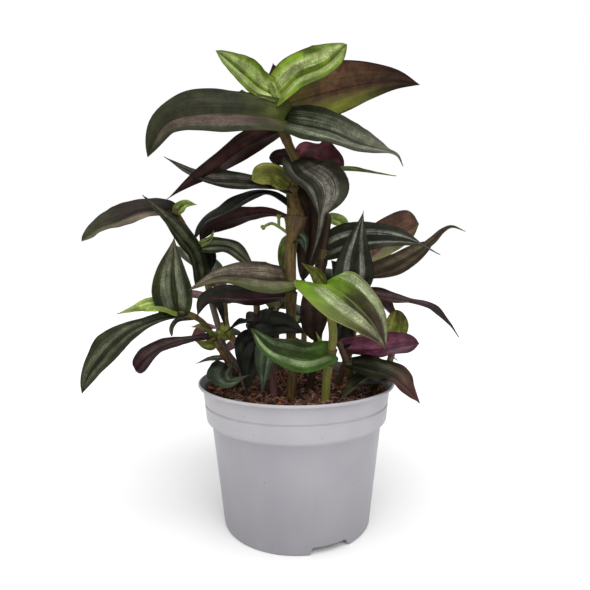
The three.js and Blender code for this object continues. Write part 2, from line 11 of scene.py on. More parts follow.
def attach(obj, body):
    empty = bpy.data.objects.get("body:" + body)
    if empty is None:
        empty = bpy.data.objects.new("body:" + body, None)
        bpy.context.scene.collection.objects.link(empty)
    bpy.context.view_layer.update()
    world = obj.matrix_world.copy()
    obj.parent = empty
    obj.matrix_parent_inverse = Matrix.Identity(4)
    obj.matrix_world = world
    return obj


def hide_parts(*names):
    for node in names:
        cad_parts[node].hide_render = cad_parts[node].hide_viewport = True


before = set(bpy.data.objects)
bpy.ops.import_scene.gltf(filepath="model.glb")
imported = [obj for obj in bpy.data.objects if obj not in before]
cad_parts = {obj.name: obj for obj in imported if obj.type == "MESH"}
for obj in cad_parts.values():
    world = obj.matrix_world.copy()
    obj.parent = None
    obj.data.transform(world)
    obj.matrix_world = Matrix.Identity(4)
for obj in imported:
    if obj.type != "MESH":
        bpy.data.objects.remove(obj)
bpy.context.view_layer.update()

MM = 0.001
UP = np.array([0.0, 0.0, 1.0])
PATH_SAMPLES = 240

# Camera, fitted to the pot's ellipses in the photograph
PHOTO_WIDTH = 590
FOCAL_PIXELS = 479.3
SENSOR = 36.0
EYE = (-0.00056, -0.2952, 0.1566)
PITCH = 3.45
ROLL = -0.28
NEAREST_SEEN = 0.01

# Light: how strong the white all round is at the horizon and overhead, and for each wide lamp the way
# that it shines from and its strength
HORIZON_LIGHT = 0.15
OVERHEAD_LIGHT = 1.12
LAMP_ANGLE = 70
LAMPS = {"key": ((0.2, -0.75, 1.0), 1.8), "fill": ((-0.9, -0.6, 0.6), 0.3)}

# White floor: half its width, and how far it lies below the pot
STAGE_HALF = 3000
STAGE_DROP = 0.1

# Pot. Its inner wall is given as radius and height, from the floor up to the lip.
POT_HEIGHT = 87
RIM_RADIUS = 60
BODY_RADIUS = 52
BASE_RADIUS = 45.2
WALL = 1.2
FLOOR = 1.4
FOOT_CHAMFER = 0.5
FOOT_HEIGHT = 9
FOOT_FLARE = 0.9
FOOT_STEPS = 6
COLLAR_HEIGHT = 22
COLLAR_STEP = 3.2
COLLAR_FLARE = 2
COLLAR_SLOPE = 2.5
GROOVE_HEIGHT = 75
GROOVE_DEPTH = 0.6
LIP_HEIGHT = 2
LIP_ROUND = 0.4
LIP_WIDTH = 1.3
HUB = 0.05
FILLET = 0.7
FILLET_STEPS = 5
POT_SEGMENTS = 288
COLLAR_BOTTOM = POT_HEIGHT - COLLAR_HEIGHT
COLLAR_RADIUS = BODY_RADIUS + COLLAR_STEP
LIP_BOTTOM = POT_HEIGHT - LIP_HEIGHT
LIP_RADIUS = COLLAR_RADIUS + COLLAR_FLARE
GROOVE_RADIUS = float(
    np.interp(GROOVE_HEIGHT, [COLLAR_BOTTOM, LIP_BOTTOM], [COLLAR_RADIUS, LIP_RADIUS])
)
INNER_WALL = [
    (BASE_RADIUS - 2, FLOOR), (BASE_RADIUS - WALL, FLOOR + 1), (BODY_RADIUS - WALL, COLLAR_BOTTOM - 2),
    (COLLAR_RADIUS - WALL, COLLAR_BOTTOM + 0.6), (LIP_RADIUS - WALL, LIP_BOTTOM - 1),
]

# Drainage channels under the pot, at angles from its front, and the holes in their roofs
CHANNELS = 3
FIRST_CHANNEL = 24.3
CHANNEL_ANGLE = 29
CHANNEL_HEIGHT = 3.9
CHANNEL_START = 30
CHANNEL_MARGIN = 2
CHANNEL_SIDE_SLOPE = 0.9
CHANNEL_END_SLOPE = 1.5
DRAIN_RADIUS = 3
DRAIN_PLACE = 38
DRAIN_SIDES = 40
DRAIN_CUT = (1.0, 9.0)

# Potting mix: its level, the gap between it and the pot, its grid of points, and its crumbs
MIX_LEVEL = 81.5
MIX_GAP = 0.455
MIX_BOTTOM = FLOOR + CHANNEL_HEIGHT + 2
MIX_RINGS = 64
MIX_SEGMENTS = 200
MIX_SEED = 5
CRUMB_WAVES = 60
CRUMB_PITCHES = (0.9, 4.2)
CRUMB_HEIGHT = 0.075
CRUMB_DROP = 0.2
collar_radii, collar_heights = zip(*INNER_WALL[-2:])
MIX_RADIUS = float(np.interp(MIX_LEVEL, collar_heights, collar_radii)) - MIX_GAP

# Bark chips and coir fibres on the mix
CHIPS = 900
CHIP_SEED = 11
CHIP_MARGIN = 3
CHIP_LENGTH = 1.5
CHIP_WIDTHS = (0.6, 1.1)
CHIP_HEIGHTS = (0.3, 0.6)
CHIP_ROUGHNESS = 0.22
CHIP_LIFT = 0.25
SMALL_CHIPS = (0.5, 1.3)
BIG_CHIPS = (1.4, 2.6)
BIG_CHIP_EVERY = 6
CHIP_TONES = ["#44291e", "#543424", "#321e16", "#603e2c", "#28180f", "#704a34", "#40281e", "#9a5a34"]
FIBRES = 1300
FIBRE_SEED = 23
FIBRE_MARGIN = 7
FIBRE_LENGTHS = (3, 9)
FIBRE_RADII = (0.09, 0.2)
FIBRE_BEND = 0.25
FIBRE_ARCHES = (0.3, 2.0)
FIBRE_LIFT = 0.15
FIBRE_STEPS = 8
FIBRE_SIDES = 5
FIBRE_TONES = ["#8c6452", "#a87e6a", "#684638", "#c4a290"]

# Leaves: their grid of points, their thickness, the ridge under the midrib and the furrow over it,
# how soft their fold is, and their bulges, waves, frills and lobes
LEAF_STEPS = 44
LEAF_COLUMNS = 18
EDGE_COLUMN = 0.97
CROWDING = 1.25
TIP_WIDTH = 0.3
EDGE_THICKNESS = 0.16
ADDED_THICKNESS = 0.36
RIDGE_HEIGHT = 0.35
RIDGE_WIDTH = 0.7
FURROW_DEPTH = 0.3
FURROW_WIDTH = 0.9
CREASE = 0.1
BULGE = 0.05
SLACK_WIDTH = 0.3
WAVES = 2
FRILL_HEIGHTS = (0.05, 0.16)
FRILL_TURNS = (5, 8)
LOBE_REACH = 0.35

# Stems, sheaths and hairs. Slots are places in a leafy stem's list of materials. The spacing parts
# the noise of one leaf from that of the next.
UPPER_SLOT, UNDER_SLOT, STEM_SLOT, HAIR_SLOT = range(4)
ROOT_DEPTH = 15
STEM_SIDES = 20
STEM_STEP = 1.6
NODE_SWELL = 0.16
NODE_WAIST = 0.05
NODE_WIDTH = 2.0
WAIST_RISE = 4.5
STEM_SEEDS = 100
SEED_SPACING = 41.0
NODE_DROP = 6
SHEATHED_WIDTH = 10
SHEATH_SIDES = 24
SHEATH_STEPS = 8
SHEATH_LENGTH = 8.0
SHEATH_OVERLAP = 1.2
SHEATH_WALL = 0.28
SHEATH_RIBS = 9
STREAK_RADIUS = 4
SHEATH_SPACING = 12.0
SHORTEST_SHEATH = 3
SHEATH_TONES = ("#6a5f28", "#4a3022")
HAIRS = 14
HAIR_RADIUS = 0.05
HAIR_LENGTHS = (1.0, 2.2)
HAIR_LEANS = (0.1, 0.8)

# The spent flower stalk on the main stem: its two arms, and a lobe of a seed head by how far each of
# its points lies ahead of the arm's end and aside from it
STALK_ARMS = [
    [(-3, -7, 175), (-10, -8, 180), (-14, -8, 182), (-17, -9, 181), (-20, -9, 179)],
    [(-10, -8, 180), (-10, -8, 184), (-10, -8, 187)],
]
STALK_RADIUS = 0.9
STALK_TONES = ("#5d7428", "#78863c")
STALK_SEED = 50
HEAD_LOBES = 3
LOBE_COURSE = [(-2.2, 0), (-0.8, 0.8), (0.4, 0.9)]
LOBE_RADII = [0.5, 1.1, 0.7]

# Tones of the materials as linear colours, the least roughness of a leaf's two faces, the height of
# the relief on bark and coir in metres, and how close a leaf's veins lie
# One plastic in two tones: the body's greys are darker as painted shade, the collar's paler as painted
# light
SHADED_BODY_GREYS = [(0.28, 0.27, 0.295, 1.0), (0.32, 0.31, 0.335, 1.0)]
LIT_COLLAR_GREYS = [(0.395, 0.385, 0.41, 1.0), (0.435, 0.425, 0.445, 1.0)]
# Painted shade on the pot's inside wall
POT_INSIDE_SHADE = (0.07, 0.055, 0.05, 1.0)
POT_DIRT = (0.12, 0.1, 0.1, 1.0)
PEAT_TONES = [(0.012, 0.006, 0.004, 1.0), (0.06, 0.026, 0.016, 1.0)]
PEAT_STRANDS = (0.11, 0.05, 0.03, 1.0)
HAIR_TONES = [(0.5, 0.46, 0.36, 1.0), (0.36, 0.3, 0.22, 1.0)]
NODE_TONE = (0.06, 0.03, 0.02, 1.0)
STAGE_WHITES = [(0.93, 0.93, 0.93, 1.0), (0.95, 0.95, 0.95, 1.0)]
UPPER_ROUGHNESS = 0.3
UNDER_ROUGHNESS = 0.36
BARK_RELIEF = 0.0006
COIR_RELIEF = 0.0001
VEINS = 34.5


def linear(code, strength=1.0):
    """A linear colour from a plain colour code, with a strength as its fourth number."""
    parts = np.array([int(code[k:k + 2], 16) for k in (1, 3, 5)]) / 255
    return np.array([*(((parts + 0.055) / 1.055) ** 2.4), strength])


def look(heart, silver, edge, tip, flank=("#000000", 0), root=("#000000", 0), band=(0.2, 0.6),
         sides=(0, 0, 0.5)):
    """How one face of a leaf is coloured: its ground, its two silver bands, its thin edge, its tip,
    one flank, which a strength below 0 puts on the other side, and its root end. The bands' limits
    are shares of the half width. Sides says how much one band is stronger than the other, how much
    nearer to the midrib it lies, and how much both are cut into stripes."""
    return {
        "heart": linear(heart), "silver": linear(*silver), "edge": linear(*edge),
        "tip": linear(*tip), "flank": linear(*flank), "root": linear(*root),
        "band": np.array([*band, 0.0]), "sides": np.array(sides, float),
    }


# The looks of the leaves' upper sides and of their undersides
UPPER = {
    "young": look("#587212", ("#b4bd84", 0.9), ("#43301c", 0.9), ("#5e6c28", 0.5), band=(0.16, 0.66),
                  root=("#87983a", 0.6), sides=(-0.3, 0, 0.3)),
    "fresh": look("#2c300c", ("#abb48a", 1.0), ("#7f7a44", 0.7), ("#40362a", 1.0), band=(0.34, 0.78),
                  flank=("#545c2c", 0.9), root=("#668820", 0.95), sides=(0.2, 0.18, 0.25)),
    "light": look("#7a8e3c", ("#a6b27a", 0.6), ("#6a7a3c", 0.4), ("#8a9a54", 0.3)),
    "green": look("#23280f", ("#727862", 1.0), ("#35441c", 0.7), ("#44362c", 0.7), band=(0.18, 0.62)),
    "meadow": look("#202c10", ("#84946c", 1.0), ("#3a4c1e", 0.8), ("#303c20", 0.3), band=(0.3, 0.66),
                   flank=("#34501c", -0.8), root=("#46641c", 0.7), sides=(-0.6, 0, 0.4)),
    "dark": look("#22260f", ("#666a54", 0.85), ("#1a150f", 0.8), ("#2f2d1e", 0.4), band=(0.2, 0.56)),
    "mauve": look("#1c240f", ("#5c4845", 1.0), ("#2a1a14", 0.8), ("#2c3018", 0.9), band=(0.02, 0.74),
                  root=("#4a5222", 0.8), sides=(-0.8, 0, 0.5)),
    "smoke": look("#25261a", ("#78746a", 0.9), ("#1c1812", 0.8), ("#34302a", 0.4), band=(0.2, 0.66),
                  sides=(0, 0, 0.8)),
    "slate": look("#22280f", ("#868b74", 1.0), ("#1a1a10", 0.9), ("#5c564e", 0.6), band=(0.08, 0.68),
                  sides=(0.45, 0, 0.85)),
    "clay": look("#322c1c", ("#84766a", 0.9), ("#3a2422", 0.8), ("#424030", 0.5), band=(0.14, 0.76),
                 flank=("#465226", -1.0), sides=(0.3, 0, 1.0)),
    "stripe": look("#23271a", ("#96968a", 0.95), ("#17130f", 0.8), ("#2d2c20", 0.3), band=(0.26, 0.52)),
    "plum": look("#2b1d1c", ("#594644", 0.7), ("#180f0d", 0.8), ("#2a1519", 0.8)),
    "bark": look("#30271a", ("#6c5e44", 0.8), ("#1a120b", 0.8), ("#261c12", 0.4)),
    "teal": look("#262f1e", ("#5c6856", 0.7), ("#302a20", 0.5), ("#3c4636", 0.3), band=(0.2, 0.6),
                 root=("#1d1216", 0.9)),
    "olive": look("#626826", ("#8c8c50", 0.4), ("#43311a", 0.7), ("#54491e", 0.6)),
    "bud": look("#6a742e", ("#463420", 0.9), ("#40301a", 0.8), ("#6a6a30", 0.4), band=(0.2, 0.85)),
    # A near-black face: painted shade, for the leaves deep inside the plant
    "painted_shade": look("#10120a", ("#2c3022", 0.5), ("#0c0a08", 0.7), ("#141410", 0.4)),
    "husk": look("#23160d", ("#3e2e18", 0.5), ("#140c07", 0.7), ("#1a110b", 0.4)),
    "withered": look("#20110f", ("#38341f", 0.7), ("#140c07", 0.7), ("#33391f", 0.6),
                     flank=("#7a6c58", -0.8), root=("#160b0b", 1.0)),
    "russet": look("#1b200f", ("#545444", 0.6), ("#180e0b", 0.8), ("#4e2a26", 1.0)),
}
UNDER = {
    "umber": look("#301814", ("#523832", 0.4), ("#120807", 0.8), ("#180c09", 0.6)),
    "wine": look("#64353d", ("#7e545a", 0.4), ("#2a1518", 0.8), ("#341a1e", 0.5)),
    "violet": look("#663648", ("#8a5668", 0.5), ("#351a26", 0.7), ("#482634", 0.5)),
    "dusk": look("#2a221c", ("#80345c", 0.9), ("#241716", 0.9), ("#262a1c", 1.0), band=(-0.2, 0.36),
                 root=("#241c18", 1.0), sides=(0.9, 0, 0.3)),
    "moss": look("#4e3220", ("#665434", 0.5), ("#20110b", 0.9), ("#24100b", 1.0),
                 flank=("#707426", -1.0), root=("#6c6a28", 0.6)),
    "rust": look("#583c2c", ("#725a3e", 0.4), ("#281812", 0.7), ("#40281f", 0.5),
                 flank=("#7c8024", -0.9)),
    "sage": look("#5c6a32", ("#7a844a", 0.3), ("#444226", 0.6), ("#5c6032", 0.4)),
}


def leaf(height, course, width, facing, upper, under, **more):
    """One leaf: its height on the stem, the points that its midrib runs through up to the tip, its
    width, the way its upper side looks at the base and at the tip, and the looks of its two faces.
    Its halves fold up by an angle in degrees, and its edges wave by a height. Its base and its lobes
    are shares of its width. Its outline is widest at a share of its length, swells up to there and
    tapers from there by two exponents each, and may end in a tail, given as shares of its length and
    of its width. Its halves differ by a skew, the lobes at its base by a lobe skew, and its base may
    stand off the stem's middle by a shift."""
    return {
        "height": height, "course": course, "width": width, "facing": facing, "tip_facing": facing,
        "upper": upper, "under": under, "fold": 14, "wave": 1, "lobe": 0.1, "base": 0.42,
        "widest": 0.3, "swell": (2, 0.5), "taper": (1.55, 1.25), "tail": (0, 0), "skew": 0,
        "lobe_skew": 0, "shift": (0, 0, 0), **more,
    }


def stem(path, radii, tones, *leaves):
    """One leafy stem: its path from the mix upwards, its radii at even steps, the tones of its ground
    and of its streaks, and its leaves."""
    return {"path": path, "radii": radii, "tones": tones, "leaves": leaves}


# Every leafy stem, by the name that its piece has
STEMS = {
    "main": stem(
        [(-3, -28, 82), (-2, -27, 98), (-3, -22, 120), (-3, -14, 146), (-3, -9, 166),
         (0, -7, 185), (-2, -5, 200), (1, -4, 217), (-4, -4, 229), (-9, -5, 243), (-10, -6, 259)],
        [2.9, 2.9, 2.9, 2.9, 2.9, 3.1, 3.5, 3.8, 5.8, 2.8, 2.9, 2.8, 2.6, 2], ("#645220", "#3c271a"),
        leaf(140, [(-29, -25, 139), (-51, -26, 138), (-56, -25, 129)], 20, (0, 7, 7), "dark", "dusk",
             taper=(2, 1)),
        leaf(148, [(-14, -31, 149), (-41, -38, 151), (-58, -38, 144)], 26, (0, -8, 6), "clay", "wine",
             base=0.6, widest=0.22, taper=(1.2, 1)),
        leaf(174, [(-7, 0, 166), (-9, 4, 150)], 9, (-2, 8, 2), "dark", "sage"),
        leaf(174, [(4, -14, 172), (6, -16, 164)], 9, (0, -9, 3), "teal", "wine", wave=0.5),
        leaf(184, [(-16, -2, 189), (-25, 2, 189), (-45, 8, 185), (-55, 10, 181), (-61, 12, 173)], 18,
             (0, 7, 7), "dark", "umber", base=0.15, widest=0.6, swell=(1, 1.6), taper=(2, 0.9)),
        leaf(190, [(-15, -11, 199), (-24, -14, 198), (-41, -20, 187), (-51, -23, 182), (-57, -24, 172)],
             13, (0, -6, 8), "painted_shade", "umber", tip_facing=(-6, -6, 4), widest=0.6, swell=(1, 1.2),
             taper=(2, 0.8)),
        leaf(202, [(-27, -12, 205), (-47, -20, 205), (-58, -22, 209), (-73, -24, 218)], 18, (0, -7, 7),
             "smoke", "umber", widest=0.5, swell=(1.5, 0.8), taper=(1.3, 1.3)),
        leaf(203, [(-15, -13, 209), (-25, -17, 206)], 15, (0, -9, 2), "bud", "sage", fold=20,
             wave=0, widest=0.6, taper=(3, 0.7)),
        leaf(206, [(8, 20, 216), (22, 58, 206)], 26, (0, 3, 9), "mauve", "wine"),
        leaf(206, [(7, -4, 200), (8, -4, 185), (7, -5, 165), (4, -9, 148)], 16, (0, -9, 1), "husk",
             "umber", wave=0.5, base=0.7, taper=(3, 0.7)),
        leaf(211, [(30, 0, 215), (61, -2, 211)], 14, (0, -1.5, 10), "light", "sage", wave=0.5),
        leaf(217, [(1, -17, 209), (11, -26, 199), (13, -31, 181), (8, -31, 158)], 31, (1, -7, 6),
             "smoke", "wine", tip_facing=(4, -9, 2), shift=(-3, -4, 1), widest=0.56, taper=(2, 1.1),
             tail=(0.35, 0.14), skew=-0.42),
        leaf(223, [(-8, 2, 223), (-16, 4, 223)], 10, (0, 9, 3), "dark", "umber", wave=0, widest=0.5,
             taper=(3, 0.6)),
        leaf(222, [(13, 12, 224), (31, 16, 219)], 26, (0, 6, 8), "dark", "wine", wave=1.6, widest=0.5,
             taper=(3, 0.7)),
        leaf(238, [(-8, 30, 262), (-6, 64, 268)], 24, (0, 2, 10), "dark", "wine"),
        leaf(238, [(-30, -10, 226), (-46, -20, 212), (-58, -25, 204), (-71, -28, 194)], 17, (0, 7, 7),
             "dark", "umber", base=0.35, widest=0.35),
        leaf(241, [(-33, -24, 241), (-61, -32, 237), (-71, -32, 232), (-80, -32, 216)], 28, (0, -9, 3),
             "mauve", "wine", tip_facing=(-2, -9, 3), shift=(3, -4, 1), base=0.6, lobe=0.2,
             widest=0.42, taper=(2.4, 0.9)),
        leaf(243, [(20, -20, 232), (34, -27, 224), (48, -32, 219), (55, -33, 216), (58, -34, 210)], 28,
             (1, -9, 5), "slate", "wine", widest=0.35, taper=(1.8, 0.9), tail=(0.12, 0.1)),
        leaf(246, [(-26, 20, 264), (-43, 42, 275)], 22, (0, 2, 10), "dark", "umber"),
        leaf(249, [(-11, -9, 256), (-14, -9, 264)], 6, (0, -9, 1), "light", "sage", shift=(0, -3, 0),
             fold=25, wave=0, base=0.9, widest=0.5, taper=(3, 0.6)),
        leaf(251, [(25, 8, 265), (48, 12, 271), (64, 14, 273), (79, 16, 271)], 34, (0, 8, 5), "dark",
             "moss", widest=0.38, taper=(1.5, 1)),
        leaf(256, [(-11, -3, 268), (-13, -3, 277)], 12, (0, -9, 2), "husk", "umber", wave=0, widest=0.5),
        leaf(257, [(2, -13, 265), (16, -18, 269), (29, -20, 280)], 27, (-3, -9, 3), "young", "sage",
             fold=22, wave=0.6, base=0.75, widest=0.45, taper=(2.4, 0.8)),
        leaf(257, [(-20, -10, 260), (-29, -16, 266), (-44, -20, 277)], 20, (1, -9, 3), "young", "sage",
             fold=22, wave=0.5, base=0.6, widest=0.42, taper=(1.8, 0.9)),
    ),
    "front": stem(
        [(16, -34, 82), (17, -34, 97), (19, -35, 109), (20, -37, 119), (18, -37, 134), (15, -37, 147)],
        [2.6, 2.3], ("#727a2c", "#7a5c40"),
        leaf(110, [(5, -44, 109), (-3, -48, 111), (-13, -50, 115), (-23, -52, 125)], 18, (2, -8, 6),
             "meadow", "sage", base=0.5, widest=0.42, taper=(1.8, 0.9), skew=-0.18),
        leaf(109, [(14, -32, 114), (11, -30, 120)], 4, (0, -8, 3), "light", "sage", fold=30, wave=0),
        leaf(145, [(21, -45, 144), (29, -49, 138), (36, -51, 131), (42, -52, 123), (46, -52, 114)], 31,
             (1, -9, 5), "fresh", "sage", tip_facing=(3, -9, 4), shift=(0, -1, 2), base=0.5, lobe=0.2,
             lobe_skew=1.4, widest=0.36, taper=(1.6, 1.1), skew=0.15),
        leaf(147, [(11, -36, 153), (3, -34, 158)], 10, (-3, -7, -6), "olive", "sage", wave=0),
    ),
    "middle": stem(
        [(8, -12, 82), (13, -8, 112), (14, -4, 136), (15, 0, 153), (17, 3, 170), (20, 6, 190)],
        [2.3, 2.4, 3, 3.6, 3], ("#33280f", "#3c2214"),
        leaf(138, [(12, -17, 136), (10, -24, 124), (11, -25, 114)], 18, (0, -9, 3), "husk", "umber",
             base=0.7, taper=(3, 0.7)),
        leaf(165, [(30, 2, 171), (45, -3, 173), (70, -13, 170), (84, -16, 163)], 24, (0, -9, 5), "stripe",
             "wine", tip_facing=(2, -8, 6), widest=0.4, taper=(2, 1.2), tail=(0.14, 0.08)),
        leaf(186, [(27, 10, 185), (33, 12, 180)], 9, (1, -9, 3), "light", "sage", wave=0.3, widest=0.5,
             taper=(3, 0.6)),
    ),
    "right": stem(
        [(26, 0, 82), (34, -2, 108), (35, -4, 130), (34, -6, 145), (34, -4, 157)],
        [2.4, 2.1], ("#4a3a26", "#564a2c"),
        leaf(139, [(50, -8, 138), (78, -17, 132), (89, -18, 123), (95, -18, 115)], 14, (0, -4, 9),
             "plum", "wine", tip_facing=(6, -6, 5), taper=(1.3, 0.8), tail=(0.3, 0.5)),
        leaf(144, [(35, -14, 166), (40, -11, 189)], 25, (0, -10, 1.5), "stripe", "wine", widest=0.25,
             taper=(1.2, 1.3)),
        leaf(145, [(28, -9, 152), (21, -10, 160)], 20, (0, -9, 3), "painted_shade", "umber"),
        leaf(147, [(57, 2, 154), (74, 5, 163), (86, 7, 172), (92, 8, 178), (98, 8, 181), (107, 8, 178)],
             20, (-2, -4, 9), "bark", "umber", tip_facing=(-3, -8, 3), widest=0.5, taper=(2, 0.8),
             tail=(0.3, 0.28)),
        leaf(150, [(52, 18, 165), (67, 27, 176), (84, 34, 185)], 33, (0, 8, 6), "dark", "rust",
             widest=0.7, taper=(3, 0.6)),
    ),
    "low_right": stem(
        [(33, -15, 82), (31, -22, 94), (27, -22, 107), (24, -23, 114)],
        [2.2, 2], ("#54432c", "#46302c"),
        leaf(100, [(41, -30, 99), (53, -35, 96), (60, -38, 90), (67, -39, 82)], 22, (0, -3, 9),
             "russet", "wine", tip_facing=(4, -5, 8), widest=0.5, taper=(1.6, 0.9)),
        leaf(109, [(50, -26, 110), (69, -28, 113)], 20, (0, 8, 6), "dark", "violet", widest=0.7,
             taper=(2.5, 0.8)),
        leaf(111, [(28, -18, 122), (32, -16, 130)], 14, (0, -9, 2), "painted_shade", "umber"),
    ),
    "rim_right": stem(
        [(45, -11, 82), (53, -14, 94), (57, -12, 105), (57, -10, 118)],
        [2, 1.8], ("#585030", "#46342c"),
        leaf(90, [(43, -30, 93), (33, -40, 93)], 14, (0, -7, 7), "teal", "sage", wave=0.5),
        leaf(90, [(43, -24, 93), (33, -33, 91), (22, -46, 85)], 13, (0, -5, 9), "mauve", "wine",
             tip_facing=(-4, -8, 4)),
        leaf(111, [(60, -9, 121), (61, -7, 130)], 15, (0, -9, 2), "olive", "sage", fold=20, wave=0.5,
             widest=0.45, taper=(2, 0.6)),
    ),
    "left_low": stem(
        [(-35, -5, 82), (-40, -12, 98), (-46, -15, 110), (-53, -18, 123), (-59, -20, 128),
         (-68, -22, 131)],
        [1.9, 1.5], ("#584426", "#42281e"),
        leaf(98, [(-41, -27, 95), (-36, -38, 94), (-25, -42, 99)], 15, (0, -6, 8), "teal", "sage",
             wave=0.6, base=0.7, widest=0.35, skew=0.35),
        leaf(102, [(-51, -15, 102), (-59, -16, 100)], 5, (0, -5, 9), "green", "sage", wave=0),
        leaf(112, [(-52, -21, 112), (-58, -23, 114)], 8, (0, -9, -2), "olive", "sage", wave=0.3),
        leaf(115, [(-67, -25, 114), (-76, -29, 111), (-82, -32, 107), (-89, -33, 99)], 17, (0, -5, 9),
             "plum", "wine", tip_facing=(-4, -7, 6), widest=0.78, swell=(1, 4), taper=(3, 0.6)),
        leaf(116, [(-54, -24, 122), (-59, -26, 123)], 11, (0, -5, 9), "olive", "sage", fold=30, wave=0.3),
        leaf(127, [(-68, -22, 126), (-71, -23, 122), (-71, -24, 117)], 3, (0, -9, 3), "green", "sage",
             wave=0, widest=0.5, taper=(3, 0.6)),
        leaf(130, [(-83, -28, 125), (-93, -33, 120), (-104, -37, 109), (-112, -38, 99), (-117, -38, 88)],
             21, (0, -5, 9), "dark", "wine", tip_facing=(-3, -9, 3), widest=0.6, swell=(1, 2.2),
             taper=(1.7, 1)),
        leaf(131, [(-77, -26, 135), (-99, -32, 131)], 12, (0, -7, 7), "light", "sage", wave=0.5),
        leaf(131, [(-69, -26, 150), (-68, -26, 173)], 23, (1, -10, 1), "green", "wine", wave=0.6,
             skew=-0.08),
    ),
    "left_high": stem(
        [(-28, 2, 82), (-44, 0, 105), (-48, 0, 119), (-52, 1, 134), (-56, 2, 153), (-61, 3, 170),
         (-68, 4, 180), (-76, 5, 192)],
        [2.1, 1.8], ("#4a5234", "#744a5c"),
        leaf(118, [(-44, -5, 117), (-41, -6, 112)], 10, (0, -9, 2), "olive", "sage", wave=0.3, widest=0.5,
             taper=(3, 0.6)),
        leaf(136, [(-47, -4, 134), (-43, -7, 120)], 5, (0, -9, 1), "painted_shade", "umber", wave=0),
        leaf(149, [(-62, -5, 164), (-67, -8, 172), (-79, -10, 187), (-90, -10, 199)], 15, (6, -6, 4),
             "dark", "umber", shift=(-4, -3, -3), fold=25, base=0.6, widest=0.35, taper=(1.6, 1)),
        leaf(168, [(-55, 8, 163), (-54, 10, 153)], 12, (2, -9, 2), "painted_shade", "umber"),
        leaf(168, [(-48, -3, 169), (-38, -7, 167), (-25, -10, 156)], 12, (1, -8, 5), "green", "sage",
             widest=0.4, taper=(2, 0.8)),
        leaf(169, [(-52, 0, 174), (-50, 0, 179)], 5, (0, -9, 1), "light", "sage", fold=20, wave=0),
        leaf(190, [(-82, 1, 191), (-94, -3, 190), (-106, -7, 184), (-116, -10, 180), (-126, -12, 172)],
             22, (0, -7, 7), "withered", "umber", tip_facing=(-3, -7, 6), widest=0.5, taper=(2.4, 0.8)),
        leaf(190, [(-68, 4, 195), (-61, 4, 195)], 8, (0, -9, 2), "light", "sage", fold=20, wave=0.3),
    ),
    "centre_left": stem(
        [(-18, -11, 82), (-25, -4, 109), (-24, -3, 130), (-25, -5, 144)],
        [2.2, 2], ("#54422c", "#6e4848"),
        leaf(112, [(-29, -18, 111), (-30, -24, 89)], 15, (0, -10, 3), "painted_shade", "umber"),
        leaf(122, [(-32, -14, 124), (-42, -18, 118)], 7, (0, -5, 9), "painted_shade", "umber", wave=0.5),
        leaf(124, [(-17, -21, 123), (-6, -29, 124), (4, -33, 120)], 18, (0, -9, 3), "painted_shade", "umber",
             taper=(2, 0.8)),
        leaf(128, [(-22, -13, 123), (-22, -17, 114)], 15, (0, -9, 3), "painted_shade", "umber"),
    ),
    "low_centre": stem(
        [(-13, -22, 82), (-14, -19, 102), (-12, -16, 112), (-12, -14, 120)],
        [2.2, 2], ("#6e4a44", "#8a5f5c"),
        leaf(107, [(-22, -30, 107), (-28, -36, 88)], 17, (0, -10, 3), "painted_shade", "umber"),
        leaf(113, [(-16, -31, 109), (-19, -38, 87)], 16, (0, -10, 3), "teal", "umber"),
    ),
    "back_left": stem(
        [(-26, 26, 82), (-38, 34, 98), (-48, 41, 112), (-52, 44, 134), (-60, 48, 152)],
        [2.4, 1.9], ("#66603a", "#5f3c38"),
        leaf(108, [(-60, 52, 112), (-82, 62, 100)], 24, (-1, 3, 9), "dark", "wine"),
        leaf(130, [(-84, 58, 134), (-108, 66, 116)], 26, (-1, 3, 9), "mauve", "wine"),
        leaf(142, [(-46, 68, 150), (-34, 92, 142)], 28, (1, 3, 9), "dark", "umber"),
        leaf(150, [(-80, 64, 168), (-92, 86, 172)], 26, (2, -4, 9), "green", "sage"),
    ),
    "back_centre": stem(
        [(-14, 40, 82), (-16, 46, 106), (-14, 50, 128)],
        [2.3, 2], ("#6e6238", "#5f3c38"),
        leaf(92, [(-38, 54, 100), (-60, 64, 88)], 25, (-1, 3, 9), "teal", "wine"),
        leaf(122, [(-2, 66, 142), (8, 88, 138)], 26, (0, 3, 9), "green", "sage"),
        leaf(126, [(-28, 70, 140), (-38, 98, 126)], 28, (-1, 3, 9), "mauve", "wine"),
    ),
    "back_right": stem(
        [(22, 36, 82), (30, 44, 130), (36, 50, 174)],
        [2.4, 2], ("#6f6a3a", "#5a4038"),
        leaf(100, [(50, 50, 104), (74, 50, 88)], 24, (1, 3, 9), "dark", "wine"),
        leaf(128, [(54, 54, 134), (80, 64, 114)], 28, (1, 3, 9), "mauve", "umber"),
        leaf(142, [(34, 70, 152), (44, 100, 142)], 28, (1, 3, 9), "dark", "wine"),
        leaf(163, [(20, 68, 172), (6, 94, 158)], 26, (0, 4, 9), "mauve", "wine"),
        leaf(171, [(48, 72, 184), (62, 104, 170)], 30, (1, 3, 9), "dark", "umber"),
    ),
    "back": stem(
        [(6, 46, 82), (6, 58, 104), (8, 66, 122)],
        [2.2, 2], ("#6b5a36", "#5f3c38"),
        leaf(96, [(-12, 78, 98), (-26, 92, 82)], 24, (-1, 3, 9), "mauve", "wine"),
        leaf(114, [(30, 82, 120), (50, 94, 102)], 26, (1, 3, 9), "dark", "wine"),
        leaf(119, [(4, 92, 124), (0, 118, 104)], 26, (0, 3, 9), "green", "sage"),
    ),
}


# Curves

def unit(vectors):
    """Vectors made one long."""
    vectors = np.asarray(vectors, float)
    return vectors / np.maximum(np.linalg.norm(vectors, axis=-1, keepdims=True), 1e-12)


